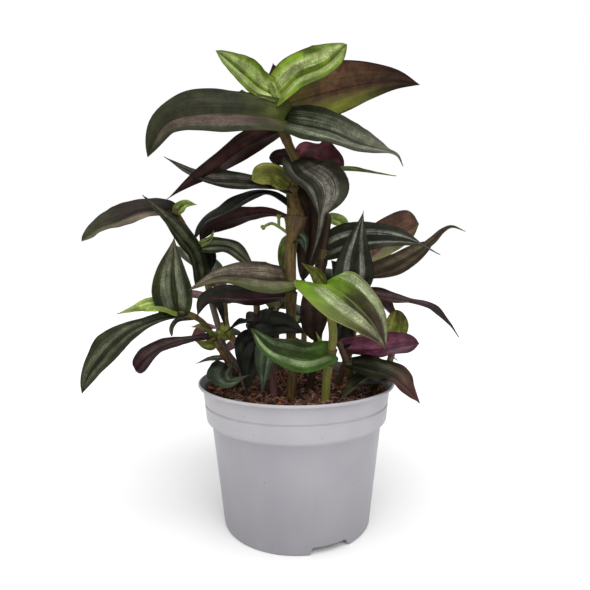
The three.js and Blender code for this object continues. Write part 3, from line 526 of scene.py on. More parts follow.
def smooth_path(points):
    """A centripetal Catmull-Rom curve through the points, as closely spaced points."""
    knots = [np.array(point, float) for point in points]
    knots = [2 * knots[0] - knots[1], *knots, 2 * knots[-1] - knots[-2]]
    spans = len(knots) - 3
    path = []
    for i in range(spans):
        before, start, end, after = knots[i:i + 4]
        first, middle, last = (
            max(math.sqrt(np.linalg.norm(b - a)), 1e-4)
            for a, b in ((before, start), (start, end), (end, after))
        )
        pace = (end - start) / middle
        leave = ((start - before) / first - (end - before) / (first + middle) + pace) * middle
        arrive = (pace - (after - start) / (middle + last) + (after - end) / last) * middle
        count = PATH_SAMPLES // spans
        share = (np.arange(count + (i == spans - 1)) / count)[:, None]
        path.append(
            start * (2 * share ** 3 - 3 * share ** 2 + 1) + leave * (share ** 3 - 2 * share ** 2 + share)
            + end * (3 * share ** 2 - 2 * share ** 3) + arrive * (share ** 3 - share ** 2)
        )
    return np.concatenate(path)


def lengths_along(path):
    """How far along a path each of its points lies."""
    return np.concatenate([[0], np.cumsum(np.linalg.norm(np.diff(path, axis=0), axis=1))])


def spaced(path, shares):
    """Points at shares of a path's length, with the path's direction there, and its length."""
    lengths = lengths_along(path)
    points = np.stack([np.interp(shares * lengths[-1], lengths, path[:, k]) for k in range(3)], -1)
    return points, unit(np.gradient(points, axis=0)), lengths[-1]


def level(path, height):
    """Which point of a path lies nearest to a height."""
    return np.abs(path[:, 2] - height).argmin()


def across_path(directions):
    """Two directions square to a path, both smooth along it."""
    side = unit(np.cross([0.0, 1.0, 0.0], directions))
    return side, np.cross(directions, side)


def bell(distance, width):
    """A soft bump, 1 at no distance."""
    return np.exp(-((distance / width) ** 2))


def ease(value, low, high):
    """0 below low, 1 above high, and smooth between."""
    share = np.clip((value - low) / (high - low), 0, 1)
    return share * share * (3 - 2 * share)


# Meshes

# What the materials read at each point. On a leaf, place holds how far across and along it the point
# lies and the leaf's seed, reach says the same in millimetres, and the other fields hold its look.
# Stems, chips and fibres keep a place in millimetres in reach, and their tones in heart and silver.
# On a stem, band starts with how near a node is. Inside the pot, place starts with 1.
FIELDS = {
    "place": "FLOAT_VECTOR", "reach": "FLOAT_VECTOR", "band": "FLOAT_VECTOR", "sides": "FLOAT_VECTOR",
    "heart": "FLOAT_COLOR", "silver": "FLOAT_COLOR", "edge": "FLOAT_COLOR",
    "tip": "FLOAT_COLOR", "flank": "FLOAT_COLOR", "root": "FLOAT_COLOR",
}


class Shape:
    """The points and faces of one piece, in millimetres, and what its materials read at each point."""

    def __init__(self, materials):
        self.materials = materials
        self.points = []
        self.faces = []
        self.slots = []
        self.fields = {name: [] for name in FIELDS}
        self.count = 0

    def add(self, points, faces, slots, **fields):
        """Adds a patch. Its slots are one number or a list for its faces. A field is one value for
        the whole patch or one value for each point."""
        points = np.asarray(points, float).reshape(-1, 3)
        for face in faces:
            self.faces.append([corner + self.count for corner in face])
        self.slots.extend(slots if isinstance(slots, list) else [slots] * len(faces))
        self.points.append(points)
        for name, kind in FIELDS.items():
            size = 4 if kind == "FLOAT_COLOR" else 3
            value = np.asarray(fields.get(name, np.zeros(size)), float)
            self.fields[name].append(np.broadcast_to(value, (len(points), size)))
        self.count += len(points)

    def make(self, name, smooth=True):
        """The finished object, with its materials and its fields."""
        mesh = bpy.data.meshes.new(name)
        mesh.from_pydata((np.concatenate(self.points) * MM).tolist(), [], self.faces)
        for material in self.materials:
            mesh.materials.append(material)
        mesh.polygons.foreach_set("material_index", self.slots)
        mesh.polygons.foreach_set("use_smooth", [smooth] * len(self.faces))
        for field, kind in FIELDS.items():
            attribute = mesh.attributes.new(field, kind, "POINT")
            values = np.concatenate(self.fields[field]).astype(np.float32).ravel()
            attribute.data.foreach_set("color" if kind == "FLOAT_COLOR" else "vector", values)
        mesh.update()
        piece = bpy.data.objects.new(name, mesh)
        bpy.context.scene.collection.objects.link(piece)
        return piece


def per_point(*values):
    """Three values for each point of a grid, from numbers, rows and columns."""
    return np.stack(np.broadcast_arrays(*values), -1).reshape(-1, 3)


def round_angles(count):
    """Even angles all the way round."""
    return np.linspace(0, 2 * np.pi, count, endpoint=False)


def grid_faces(rows, columns, start=0, flip=False, closed=False):
    """The faces of a grid of points in rows. A closed grid's last column joins its first."""
    faces = []
    for i in range(rows - 1):
        low, high = i * columns, (i + 1) * columns
        for j in range(columns if closed else columns - 1):
            after = (j + 1) % columns
            face = [low + j, low + after, high + after, high + j]
            faces.append([start + corner for corner in (face[::-1] if flip else face)])
    return faces


def capped_faces(rows, columns):
    """The faces of a closed grid, with one more face across each end."""
    first, last = range(columns), range((rows - 1) * columns, rows * columns)
    return [*grid_faces(rows, columns, closed=True), list(first)[::-1], list(last)]


def rim_faces(rows, columns):
    """The faces between the rim of one grid of points and the rim of the next."""
    lift = rows * columns
    faces = []
    for i in range(rows - 1):
        a, b = i * columns, (i + 1) * columns
        faces.append([a, b, b + lift, a + lift])
        a, b = a + columns - 1, b + columns - 1
        faces.append([b, a, a + lift, b + lift])
    for j in range(columns - 1):
        faces.append([j + 1, j, j + lift, j + 1 + lift])
        a = (rows - 1) * columns + j
        faces.append([a, a + 1, a + 1 + lift, a + lift])
    return faces


def tube(path, radius, sides):
    """Rings of points round a path, and faces that close it to a solid, ends too. The radius is one
    value for each point of the path, or one for each point of each ring."""
    directions = unit(np.gradient(path, axis=0))
    side, up = across_path(directions)
    angles = round_angles(sides)
    radius = np.asarray(radius, float)
    radius = radius[:, None] if radius.ndim == 1 else radius
    rings = (
        path[:, None, :]
        + (radius * np.cos(angles))[..., None] * side[:, None, :]
        + (radius * np.sin(angles))[..., None] * up[:, None, :]
    )
    return rings, capped_faces(len(path), sides)


# Leaves

def leaf_half(share, blade):
    """Half the leaf's width at a share of its length, as a share of its greatest half width: it
    swells from the clasping base, tapers to the tip, and may end in a tail."""
    base, widest = blade["base"], blade["widest"]
    tail, tail_width = blade["tail"]
    body = np.clip(share / (1 - tail), 0, 1)
    power, root = blade["swell"]
    swell = base + (1 - base) * (1 - (1 - np.minimum(body / widest, 1)) ** power) ** root
    power, root = blade["taper"]
    taper = (1 - (np.clip(body - widest, 0, None) / (1 - widest)) ** power) ** root
    ending = tail_width * np.clip((1 - share) / tail, 0, 1) if tail else 0.0
    return np.maximum(np.where(body < widest, swell, taper), ending)


def leaf_columns():
    """Places across a leaf from edge to edge, closer together at the midrib and at the edges."""
    even = np.linspace(-1, 1, LEAF_COLUMNS + 1)
    places = np.sign(even) * np.abs(even) ** CROWDING
    return np.concatenate([[-1, -EDGE_COLUMN], places[1:-1], [EDGE_COLUMN, 1]])


def leaf_surface(blade, middle, along, half, draw):
    """A leaf's middle sheet, with one row of points across it for each point of its midrib: folded
    and furrowed along the midrib, waved, frilled at its edges, and drawn back into lobes."""
    place = leaf_columns()
    side = np.sign(place)
    turn = np.linspace(0, 1, len(middle))[:, None]
    width = blade["width"]
    face = (1 - turn) * unit(blade["facing"]) + turn * unit(blade["tip_facing"])
    normal = unit(face - (face * along).sum(1, keepdims=True) * along)
    across = np.cross(along, normal)
    slack = np.minimum(1, half / (SLACK_WIDTH * width))
    wave = blade["wave"] * place ** 2 * np.sin(2 * np.pi * WAVES * turn + 0.8 * place) * slack
    frill = draw.uniform(*FRILL_HEIGHTS) * np.abs(place) ** 3 * slack * np.sin(
        2 * np.pi * (draw.uniform(*FRILL_TURNS) * turn + 0.3 * side) + draw.uniform(0, 6)
    )
    fold = math.radians(blade["fold"])
    crease = (np.sqrt(place ** 2 + CREASE ** 2) - CREASE) / (math.sqrt(1 + CREASE ** 2) - CREASE)
    rise = half * (math.sin(fold) * crease + BULGE * np.sin(np.pi * np.abs(place)))
    rise = rise + wave + frill - FURROW_DEPTH * bell(half * place, FURROW_WIDTH)
    lobe = blade["lobe"] * width * (1 + blade["lobe_skew"] * side)
    back = lobe * np.abs(place) ** 1.5 * np.clip(1 - turn / LOBE_REACH, 0, None) ** 1.5
    sideways = half * place * (1 + blade["skew"] * side) * math.cos(fold)
    return (
        middle[:, None, :]
        + sideways[..., None] * across[:, None, :]
        + rise[..., None] * normal[:, None, :]
        - back[..., None] * along[:, None, :]
    )


def add_leaf(shape, stem_path, blade, seed):
    """A leaf: an upper and a lower face with a thin edge between them, and a ridge under the midrib."""
    start = stem_path[level(stem_path, blade["height"])] + blade["shift"]
    share = np.linspace(0, 1, LEAF_STEPS + 1)
    middle, along, length = spaced(smooth_path([start, *blade["course"]]), share)
    half = np.maximum(leaf_half(share, blade) * blade["width"], TIP_WIDTH)[:, None] / 2
    surface = leaf_surface(blade, middle, along, half, np.random.default_rng(seed))
    outward = unit(np.cross(np.gradient(surface, axis=1), np.gradient(surface, axis=0)))
    place, turn = leaf_columns(), share[:, None]
    thickness = EDGE_THICKNESS + ADDED_THICKNESS * (1 - place ** 2)
    ridge = RIDGE_HEIGHT * bell(half * place, RIDGE_WIDTH) * (1 - turn) ** 0.5
    upper = surface + outward * (0.5 * thickness)[None, :, None]
    lower = surface - outward * (0.5 * thickness + ridge)[..., None]
    rows, columns = surface.shape[:2]
    count = rows * columns
    spot = per_point(place, turn, float(seed))
    reach = per_point(half * place, length * turn, SEED_SPACING * seed)
    faces = grid_faces(rows, columns) + rim_faces(rows, columns)
    under_faces = grid_faces(rows, columns, start=count, flip=True)
    top, bottom = UPPER[blade["upper"]], UNDER[blade["under"]]
    shape.add(
        np.stack([upper, lower]), faces + under_faces,
        [UPPER_SLOT] * len(faces) + [UNDER_SLOT] * len(under_faces),
        place=np.tile(spot, (2, 1)), reach=np.tile(reach, (2, 1)),
        **{name: np.repeat([top[name], bottom[name]], count, axis=0) for name in top},
    )


# Stems

def radius_along(radii, share):
    """The radius at shares of a stem's length, from radii given at even steps."""
    return np.interp(share, np.linspace(0, 1, len(radii)), radii)


def add_rod(shape, points, radii, tones, seed, swells=()):
    """A stem or an arm through the points, thicker at each swell, with a rounded top."""
    draw = np.random.default_rng(seed)
    path = smooth_path(points)
    length = lengths_along(path)[-1]
    share = np.linspace(0, 1, max(6, round(length / STEM_STEP)))
    middle, _, _ = spaced(path, share)
    radius = radius_along(radii, share)
    distance = share * length
    for swell in swells:
        swollen = NODE_SWELL * bell(distance - swell, NODE_WIDTH)
        drawn_in = NODE_WAIST * bell(distance - swell - WAIST_RISE, NODE_WIDTH)
        radius = radius * (1 + swollen - drawn_in)
    radius = radius * np.sqrt(np.clip((length - distance) / (0.9 * radius) + 0.02, 0.02, 1))
    radius, distance = radius[:, None], distance[:, None]
    angles = round_angles(STEM_SIDES)
    uneven = (
        1 + 0.025 * np.sin(2 * angles + draw.uniform(0, 6))
        + 0.02 * np.sin(5 * angles + 0.12 * distance)
    )
    rings, faces = tube(middle, radius * uneven, STEM_SIDES)
    near = sum((bell(distance - swell, 1.6) for swell in swells), np.zeros(distance.shape))
    shape.add(
        rings, faces, STEM_SLOT, heart=linear(tones[0]), silver=linear(tones[1]),
        reach=per_point(radius * np.cos(angles), distance, radius * np.sin(angles) + SEED_SPACING * seed),
        band=per_point(np.clip(near, 0, 1), 0 * angles, 0),
    )


def add_sheath(shape, path, end, radii, blade, seed):
    """The thin tube that a leaf's base forms round the stem below the blade, with hairs on its lip."""
    draw = np.random.default_rng(seed)
    length = lengths_along(path)[-1]
    start = max(end - SHEATH_LENGTH, 1.0)
    share = np.minimum(np.linspace(start, end + SHEATH_OVERLAP, SHEATH_STEPS) / length, 1.0)
    if share[-1] - share[0] < SHORTEST_SHEATH / length:
        return
    middle, _, _ = spaced(path, share)
    rise = np.linspace(0, 1, SHEATH_STEPS)
    outer = radius_along(radii, share) * (1.05 + 0.1 * rise) + 0.15 + 0.35 * rise ** 3
    angles = round_angles(SHEATH_SIDES)
    ribs = 1 + 0.02 * np.sin(SHEATH_RIBS * angles)
    outside, _ = tube(middle, outer[:, None] * ribs, SHEATH_SIDES)
    inside, _ = tube(middle, (outer - SHEATH_WALL)[:, None] * ribs, SHEATH_SIDES)
    rings = np.concatenate([outside, inside[::-1]])
    faces = grid_faces(len(rings), SHEATH_SIDES, closed=True)
    last = (len(rings) - 1) * SHEATH_SIDES
    for j in range(SHEATH_SIDES):
        after = (j + 1) % SHEATH_SIDES
        faces.append([last + j, last + after, after, j])
    height = np.concatenate([rise, rise[::-1]])[:, None]
    ground, streaks = (linear(tone) for tone in SHEATH_TONES)
    shape.add(
        rings, faces, STEM_SLOT,
        heart=0.3 * UPPER[blade["upper"]]["heart"] + 0.7 * ground, silver=streaks,
        reach=per_point(
            STREAK_RADIUS * np.cos(angles), SHEATH_LENGTH * height,
            STREAK_RADIUS * np.sin(angles) + SEED_SPACING * seed,
        ),
        band=per_point(0.5 * height ** 4, 0 * angles, 0),
    )
    axis = unit(middle[-1] - middle[-2])
    for _ in range(HAIRS):
        foot = outside[-1][draw.integers(SHEATH_SIDES)] + draw.normal(0, 0.15, 3)
        out = unit(foot - middle[-1])
        length = draw.uniform(*HAIR_LENGTHS)
        tip = foot + length * unit(0.9 * axis + draw.uniform(*HAIR_LEANS) * out)
        add_hair(shape, foot, tip)


def add_hair(shape, foot, tip):
    """One soft hair, a thin three-sided spike."""
    side, up = across_path(unit(tip - foot)[None, :])
    corners = [
        foot + HAIR_RADIUS * (math.cos(a) * side[0] + math.sin(a) * up[0])
        for a in (0, 2 * math.pi / 3, 4 * math.pi / 3)
    ]
    shape.add([*corners, tip], [[0, 2, 1], [0, 1, 3], [1, 2, 3], [2, 0, 3]], HAIR_SLOT)


def add_flower_stalk(shape, seed):
    """Two thin arms, each with a withered head of three small lobes."""
    for arm in STALK_ARMS:
        add_rod(shape, arm, [STALK_RADIUS], STALK_TONES, seed)
        before, head = np.array(arm[-2:], float)
        heading = unit(head - before)
        side, up = across_path(heading[None, :])
        for k in range(HEAD_LOBES):
            lean = 2 * math.pi * k / HEAD_LOBES
            out = math.cos(lean) * side[0] + math.sin(lean) * up[0]
            lobe = [head + ahead * heading + aside * out for ahead, aside in LOBE_COURSE]
            add_rod(shape, lobe, LOBE_RADII, STALK_TONES, seed + k)


def leafy_stem(name, plan, materials, seed):
    """One leafy stem as one piece: its rod, its leaves, their sheaths and their hairs."""
    shape = Shape(materials)
    x, y, z = plan["path"][0]
    rooted = [(x, y, z - ROOT_DEPTH), *plan["path"]]
    path, whole = smooth_path(plan["path"]), smooth_path(rooted)
    lengths = lengths_along(whole)
    nodes = [0]
    for k, blade in enumerate(plan["leaves"], start=1):
        add_leaf(shape, path, blade, seed + k)
        end = lengths[level(whole, blade["height"])]
        if blade["width"] > SHEATHED_WIDTH and end - nodes[-1] > SHEATH_SPACING:
            add_sheath(shape, whole, end, plan["radii"], blade, seed + k)
            nodes.append(end)
    swells = [node - NODE_DROP for node in nodes[1:]]
    add_rod(shape, rooted, plan["radii"], plan["tones"], seed, swells)
    if name == "main":
        add_flower_stalk(shape, seed + STALK_SEED)
    piece = shape.make(f"leafy_stem_{name}_fine")
    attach(piece, "root")
    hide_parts(f"leafy_stem_{name}")


# Pot

def filleted(profile, fillet):
    """A profile whose corners are rounded, each no further than a fillet's length."""
    profile = [np.array(point, float) for point in profile]
    rounded = [profile[0]]
    for before, corner, after in zip(profile, profile[1:], profile[2:]):
        reach_in = min(fillet, 0.45 * np.linalg.norm(corner - before))
        reach_out = min(fillet, 0.45 * np.linalg.norm(after - corner))
        start = corner + unit(before - corner) * reach_in
        end = corner + unit(after - corner) * reach_out
        for share in np.linspace(0, 1, FILLET_STEPS):
            rounded.append((1 - share) ** 2 * start + 2 * share * (1 - share) * corner + share ** 2 * end)
    rounded.append(profile[-1])
    return np.array(rounded)


def pot_profile():
    """The pot's section from the middle of its underside, up its outside, over the rim and down its
    inside to the middle of its floor, as radius and height."""
    inner, outer = CHANNEL_START - CHANNEL_MARGIN, CHANNEL_START + CHANNEL_MARGIN
    groove_bed = GROOVE_RADIUS - GROOVE_DEPTH
    underside = [(HUB, 0), (inner, 0), (CHANNEL_START, 0), (outer, 0), (BASE_RADIUS - FOOT_CHAMFER, 0)]
    foot = [
        (BASE_RADIUS + FOOT_FLARE * share, FOOT_CHAMFER + (FOOT_HEIGHT - FOOT_CHAMFER) * share)
        for share in np.linspace(0, 1, FOOT_STEPS)
    ]
    collar = [
        (BODY_RADIUS, COLLAR_BOTTOM - COLLAR_SLOPE), (COLLAR_RADIUS, COLLAR_BOTTOM),
        (GROOVE_RADIUS, GROOVE_HEIGHT - 0.6), (groove_bed, GROOVE_HEIGHT - 0.2),
        (groove_bed, GROOVE_HEIGHT + 0.4), (GROOVE_RADIUS + 0.1, GROOVE_HEIGHT + 0.8),
    ]
    lip = [
        (LIP_RADIUS, LIP_BOTTOM), (RIM_RADIUS, LIP_BOTTOM + LIP_ROUND), (RIM_RADIUS, POT_HEIGHT - 0.5),
        (RIM_RADIUS - LIP_ROUND, POT_HEIGHT), (RIM_RADIUS - LIP_WIDTH, POT_HEIGHT),
    ]
    inside = [
        *reversed(INNER_WALL), (outer, FLOOR), (CHANNEL_START, FLOOR), (inner, FLOOR), (HUB, FLOOR),
    ]
    return filleted([*underside, *foot, *collar, *lip, *inside], FILLET)


def channel_rise(angle, radius):
    """How far the drainage channels lift the pot's underside at an angle and a radius."""
    pitch = 360 / CHANNELS
    aside = np.abs((np.degrees(angle) + 90 - FIRST_CHANNEL + pitch / 2) % pitch - pitch / 2)
    half = CHANNEL_ANGLE / 2
    beside = 1 - ease(aside, half - CHANNEL_SIDE_SLOPE, half + CHANNEL_SIDE_SLOPE)
    along = ease(radius, CHANNEL_START - CHANNEL_END_SLOPE, CHANNEL_START + CHANNEL_END_SLOPE)
    return CHANNEL_HEIGHT * beside * along


def cut_drains(piece):
    """Cuts a round drain hole through the roof of each channel."""
    shape = Shape([])
    for i in range(CHANNELS):
        angle = math.radians(FIRST_CHANNEL + 360 / CHANNELS * i - 90)
        x, y = DRAIN_PLACE * math.cos(angle), DRAIN_PLACE * math.sin(angle)
        ends = np.array([(x, y, height) for height in DRAIN_CUT])
        rings, faces = tube(ends, [DRAIN_RADIUS, DRAIN_RADIUS], DRAIN_SIDES)
        shape.add(rings, faces, 0)
    cutter = shape.make("drain_cutter", smooth=False)
    cut = piece.modifiers.new("drains", "BOOLEAN")
    cut.object = cutter
    cut.solver = "EXACT"
    graph = bpy.context.evaluated_depsgraph_get()
    piece.data = bpy.data.meshes.new_from_object(piece.evaluated_get(graph))
    piece.modifiers.clear()
    bpy.data.objects.remove(cutter)


def make_pot(material):
    """The pot as one turned wall, with its channels raised and its drain holes cut."""
    profile = pot_profile()
    radius, height = profile[:, None, 0], profile[:, None, 1]
    angle = round_angles(POT_SEGMENTS)
    low = np.clip(1 - height / FOOT_HEIGHT, 0, 1)
    lifted = height + channel_rise(angle, radius) * low
    inside = np.arange(len(profile))[:, None] > height.argmax()
    shape = Shape([material])
    shape.add(
        per_point(radius * np.cos(angle), radius * np.sin(angle), lifted),
        capped_faces(len(profile), POT_SEGMENTS), 0, place=per_point(inside, 0 * angle, 0),
    )
    piece = shape.make("nursery_pot")
    cut_drains(piece)
    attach(piece, "root")
    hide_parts("pot")


# Potting mix

def mix_height(x, y):
    """The mix's surface: low mounds of bark and fibre, a little lower round the wall."""
    mounds = (
        0.8 * np.sin(0.31 * x + 1.3) * np.cos(0.27 * y)
        + 0.6 * np.sin(0.73 * x + 0.51 * y) + 0.5 * np.cos(0.9 * y - 0.6 * x)
    )
    return MIX_LEVEL + mounds - (np.hypot(x, y) / RIM_RADIUS) ** 4


def make_mix_bed(material):
    """The bed of potting mix: a crumbly surface on a plain body that follows the pot's inside."""
    draw = np.random.default_rng(MIX_SEED)
    waves = unit(draw.normal(0, 1, (CRUMB_WAVES, 2))) * draw.uniform(*CRUMB_PITCHES, (CRUMB_WAVES, 1))
    phases = draw.uniform(0, 2 * np.pi, CRUMB_WAVES)
    angle = round_angles(MIX_SEGMENTS)
    wall = [(radius - MIX_GAP, max(height, MIX_BOTTOM)) for radius, height in INNER_WALL[1:4]]
    rings = [
        per_point(radius * np.cos(angle), radius * np.sin(angle), height)
        for radius, height in [(HUB, MIX_BOTTOM), *wall]
    ]
    for radius in np.maximum(MIX_RADIUS * np.arange(MIX_RINGS, -1, -1) / MIX_RINGS, HUB):
        x, y = radius * np.cos(angle), radius * np.sin(angle)
        crumbs = np.sin(np.outer(x, waves[:, 0]) + np.outer(y, waves[:, 1]) + phases).sum(1)
        inward = ease(MIX_RADIUS - radius, 0, 2)
        rings.append(per_point(x, y, mix_height(x, y) + CRUMB_HEIGHT * crumbs * inward - CRUMB_DROP))
    shape = Shape([material])
    shape.add(np.stack(rings), capped_faces(len(rings), MIX_SEGMENTS), 0)
    piece = shape.make("potting_mix_bed")
    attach(piece, "root")
    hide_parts("potting_mix")


def scatter(draw, count, margin):
    """Random places on the mix, clear of the wall by a margin, at the height of its surface."""
    radius = (MIX_RADIUS - margin) * np.sqrt(draw.uniform(0, 1, count))
    angle = draw.uniform(0, 2 * np.pi, count)
    x, y = radius * np.cos(angle), radius * np.sin(angle)
    return np.stack([x, y, mix_height(x, y)], -1)


def turned(draw):
    """A random turn as three square axes."""
    first = unit(draw.normal(0, 1, 3))
    second = unit(np.cross(first, draw.normal(0, 1, 3)))
    return np.stack([first, second, np.cross(first, second)])


def rough_ball():
    """The points and faces of a ball of eighty triangles."""
    work = bmesh.new()
    bmesh.ops.create_icosphere(work, subdivisions=2, radius=1.0)
    points = np.array([vertex.co for vertex in work.verts])
    faces = [[vertex.index for vertex in face.verts] for face in work.faces]
    work.free()
    return points, faces


def make_chips(material):
    """Small rough chips of bark, half sunk in the mix."""
    draw = np.random.default_rng(CHIP_SEED)
    ball, faces = rough_ball()
    shape = Shape([material])
    for k, spot in enumerate(scatter(draw, CHIPS, CHIP_MARGIN)):
        size = draw.uniform(*(SMALL_CHIPS if k % BIG_CHIP_EVERY else BIG_CHIPS))
        spread = size * np.array([CHIP_LENGTH, draw.uniform(*CHIP_WIDTHS), draw.uniform(*CHIP_HEIGHTS)])
        points = ball * (1 + draw.uniform(-CHIP_ROUGHNESS, CHIP_ROUGHNESS, (len(ball), 1)))
        points = np.clip(points, -0.8, 0.8) * spread @ turned(draw) + spot + CHIP_LIFT * size * UP
        tone = linear(CHIP_TONES[draw.integers(len(CHIP_TONES))])
        shape.add(points, faces, 0, heart=tone, reach=points)
    piece = shape.make("bark_chips", smooth=False)
    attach(piece, "root")


def make_fibres(material):
    """Coir fibres, thin and curled, that lie on the mix and stand a little out of it."""
    draw = np.random.default_rng(FIBRE_SEED)
    shape = Shape([material])
    steps = np.linspace(0, 1, FIBRE_STEPS)
    for spot in scatter(draw, FIBRES, FIBRE_MARGIN):
        heading = draw.uniform(0, 2 * np.pi)
        bend = draw.uniform(-FIBRE_BEND, FIBRE_BEND)
        length = draw.uniform(*FIBRE_LENGTHS)
        turn = heading + bend * length * steps
        travel = np.stack([np.cos(turn), np.sin(turn)], -1) * (length / (FIBRE_STEPS - 1))
        flat = spot[:2] + np.cumsum(travel, axis=0) - travel[0]
        distance = np.maximum(np.linalg.norm(flat, axis=1, keepdims=True), 1)
        flat = flat * np.minimum(1, (MIX_RADIUS - 1) / distance)
        arch = draw.uniform(*FIBRE_ARCHES) * np.sin(np.pi * steps) + FIBRE_LIFT
        points = np.column_stack([flat, mix_height(flat[:, 0], flat[:, 1]) + arch])
        radius = draw.uniform(*FIBRE_RADII) * np.sin(np.pi * (0.1 + 0.8 * steps))
        rings, faces = tube(points, radius, FIBRE_SIDES)
        tone = linear(FIBRE_TONES[draw.integers(len(FIBRE_TONES))])
        shape.add(rings, faces, 0, heart=tone, reach=rings.reshape(-1, 3))
    piece = shape.make("coir_fibres")
    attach(piece, "root")


# Materials

class Graph:
    """A material's nodes, with short names for the kinds used here. A value is a number, a colour or
    the output of another node."""

    def __init__(self, name):
        self.material = bpy.data.materials.new(name)
        self.material.use_nodes = True
        self.tree = self.material.node_tree
        self.shader = self.tree.nodes["Principled BSDF"]

    def feed(self, socket, value):
        if isinstance(value, bpy.types.NodeSocket):
            self.tree.links.new(value, socket)
        else:
            socket.default_value = value

    def node(self, kind, inputs=(), **settings):
        """A node with its settings, and with values for its inputs, which go by name or by place."""
        node = self.tree.nodes.new("ShaderNode" + kind)
        for name, value in settings.items():
            setattr(node, name, value)
        for key, value in dict(inputs).items():
            self.feed(node.inputs[key], value)
        return node

    def field(self, name, output="Vector"):
        return self.node("Attribute", attribute_name=name).outputs[output]

    def position(self):
        return self.node("TexCoord").outputs["Object"]

    def math(self, operation, *values):
        return self.node("Math", enumerate(values), operation=operation).outputs[0]

    def times(self, first, *others):
        for value in others:
            first = self.math("MULTIPLY", first, value)
        return first

    def smooth(self, value, low, high, start=0.0, end=1.0):
        inputs = {"Value": value, "From Min": low, "From Max": high, "To Min": start, "To Max": end}
        return self.node("MapRange", inputs, interpolation_type="SMOOTHSTEP").outputs["Result"]

    def split(self, vector):
        return self.node("SeparateXYZ", {0: vector}).outputs

    def join(self, *parts):
        return self.node("CombineXYZ", enumerate(parts)).outputs[0]

    def stretch(self, vector, factors):
        return self.node("VectorMath", {0: vector, 1: factors}, operation="MULTIPLY").outputs[0]

    def noise(self, vector, scale=1.0, detail=2.0, roughness=0.5):
        inputs = {"Vector": vector, "Scale": scale, "Detail": detail, "Roughness": roughness}
        return self.node("TexNoise", inputs).outputs["Fac"]

    def sway(self, value, noise, amount):
        """A value moved up or down by a noise, by half an amount at most."""
        return self.math("ADD", value, self.math("MULTIPLY_ADD", noise, amount, -amount / 2))

    def mix(self, share, first, second):
        """Two colours mixed. The node takes them at 6 and 7 and gives the result at 2."""
        return self.node("Mix", {0: share, 6: first, 7: second}, data_type="RGBA").outputs[2]

    def shade(self, colour, amount):
        """A colour made lighter or darker by an amount round 1."""
        return self.node("VectorMath", {0: colour, "Scale": amount}, operation="SCALE").outputs[0]

    def mottle(self, colour, value, low, high, dark, light):
        """A colour shaded by dark where a value is low, and by light where it is high."""
        return self.shade(colour, self.smooth(value, low, high, dark, light))

    def bump(self, height, distance, strength):
        inputs = {"Height": height, "Distance": distance, "Strength": strength}
        return self.node("Bump", inputs).outputs[0]

    def finish(self, colour, roughness, specular, normal=None):
        """The finished material, whose specular level is one number."""
        self.shader.inputs["Specular IOR Level"].default_value = specular
        self.feed(self.shader.inputs["Base Color"], colour)
        self.feed(self.shader.inputs["Roughness"], roughness)
        if normal is not None:
            self.feed(self.shader.inputs["Normal"], normal)
        return self.material


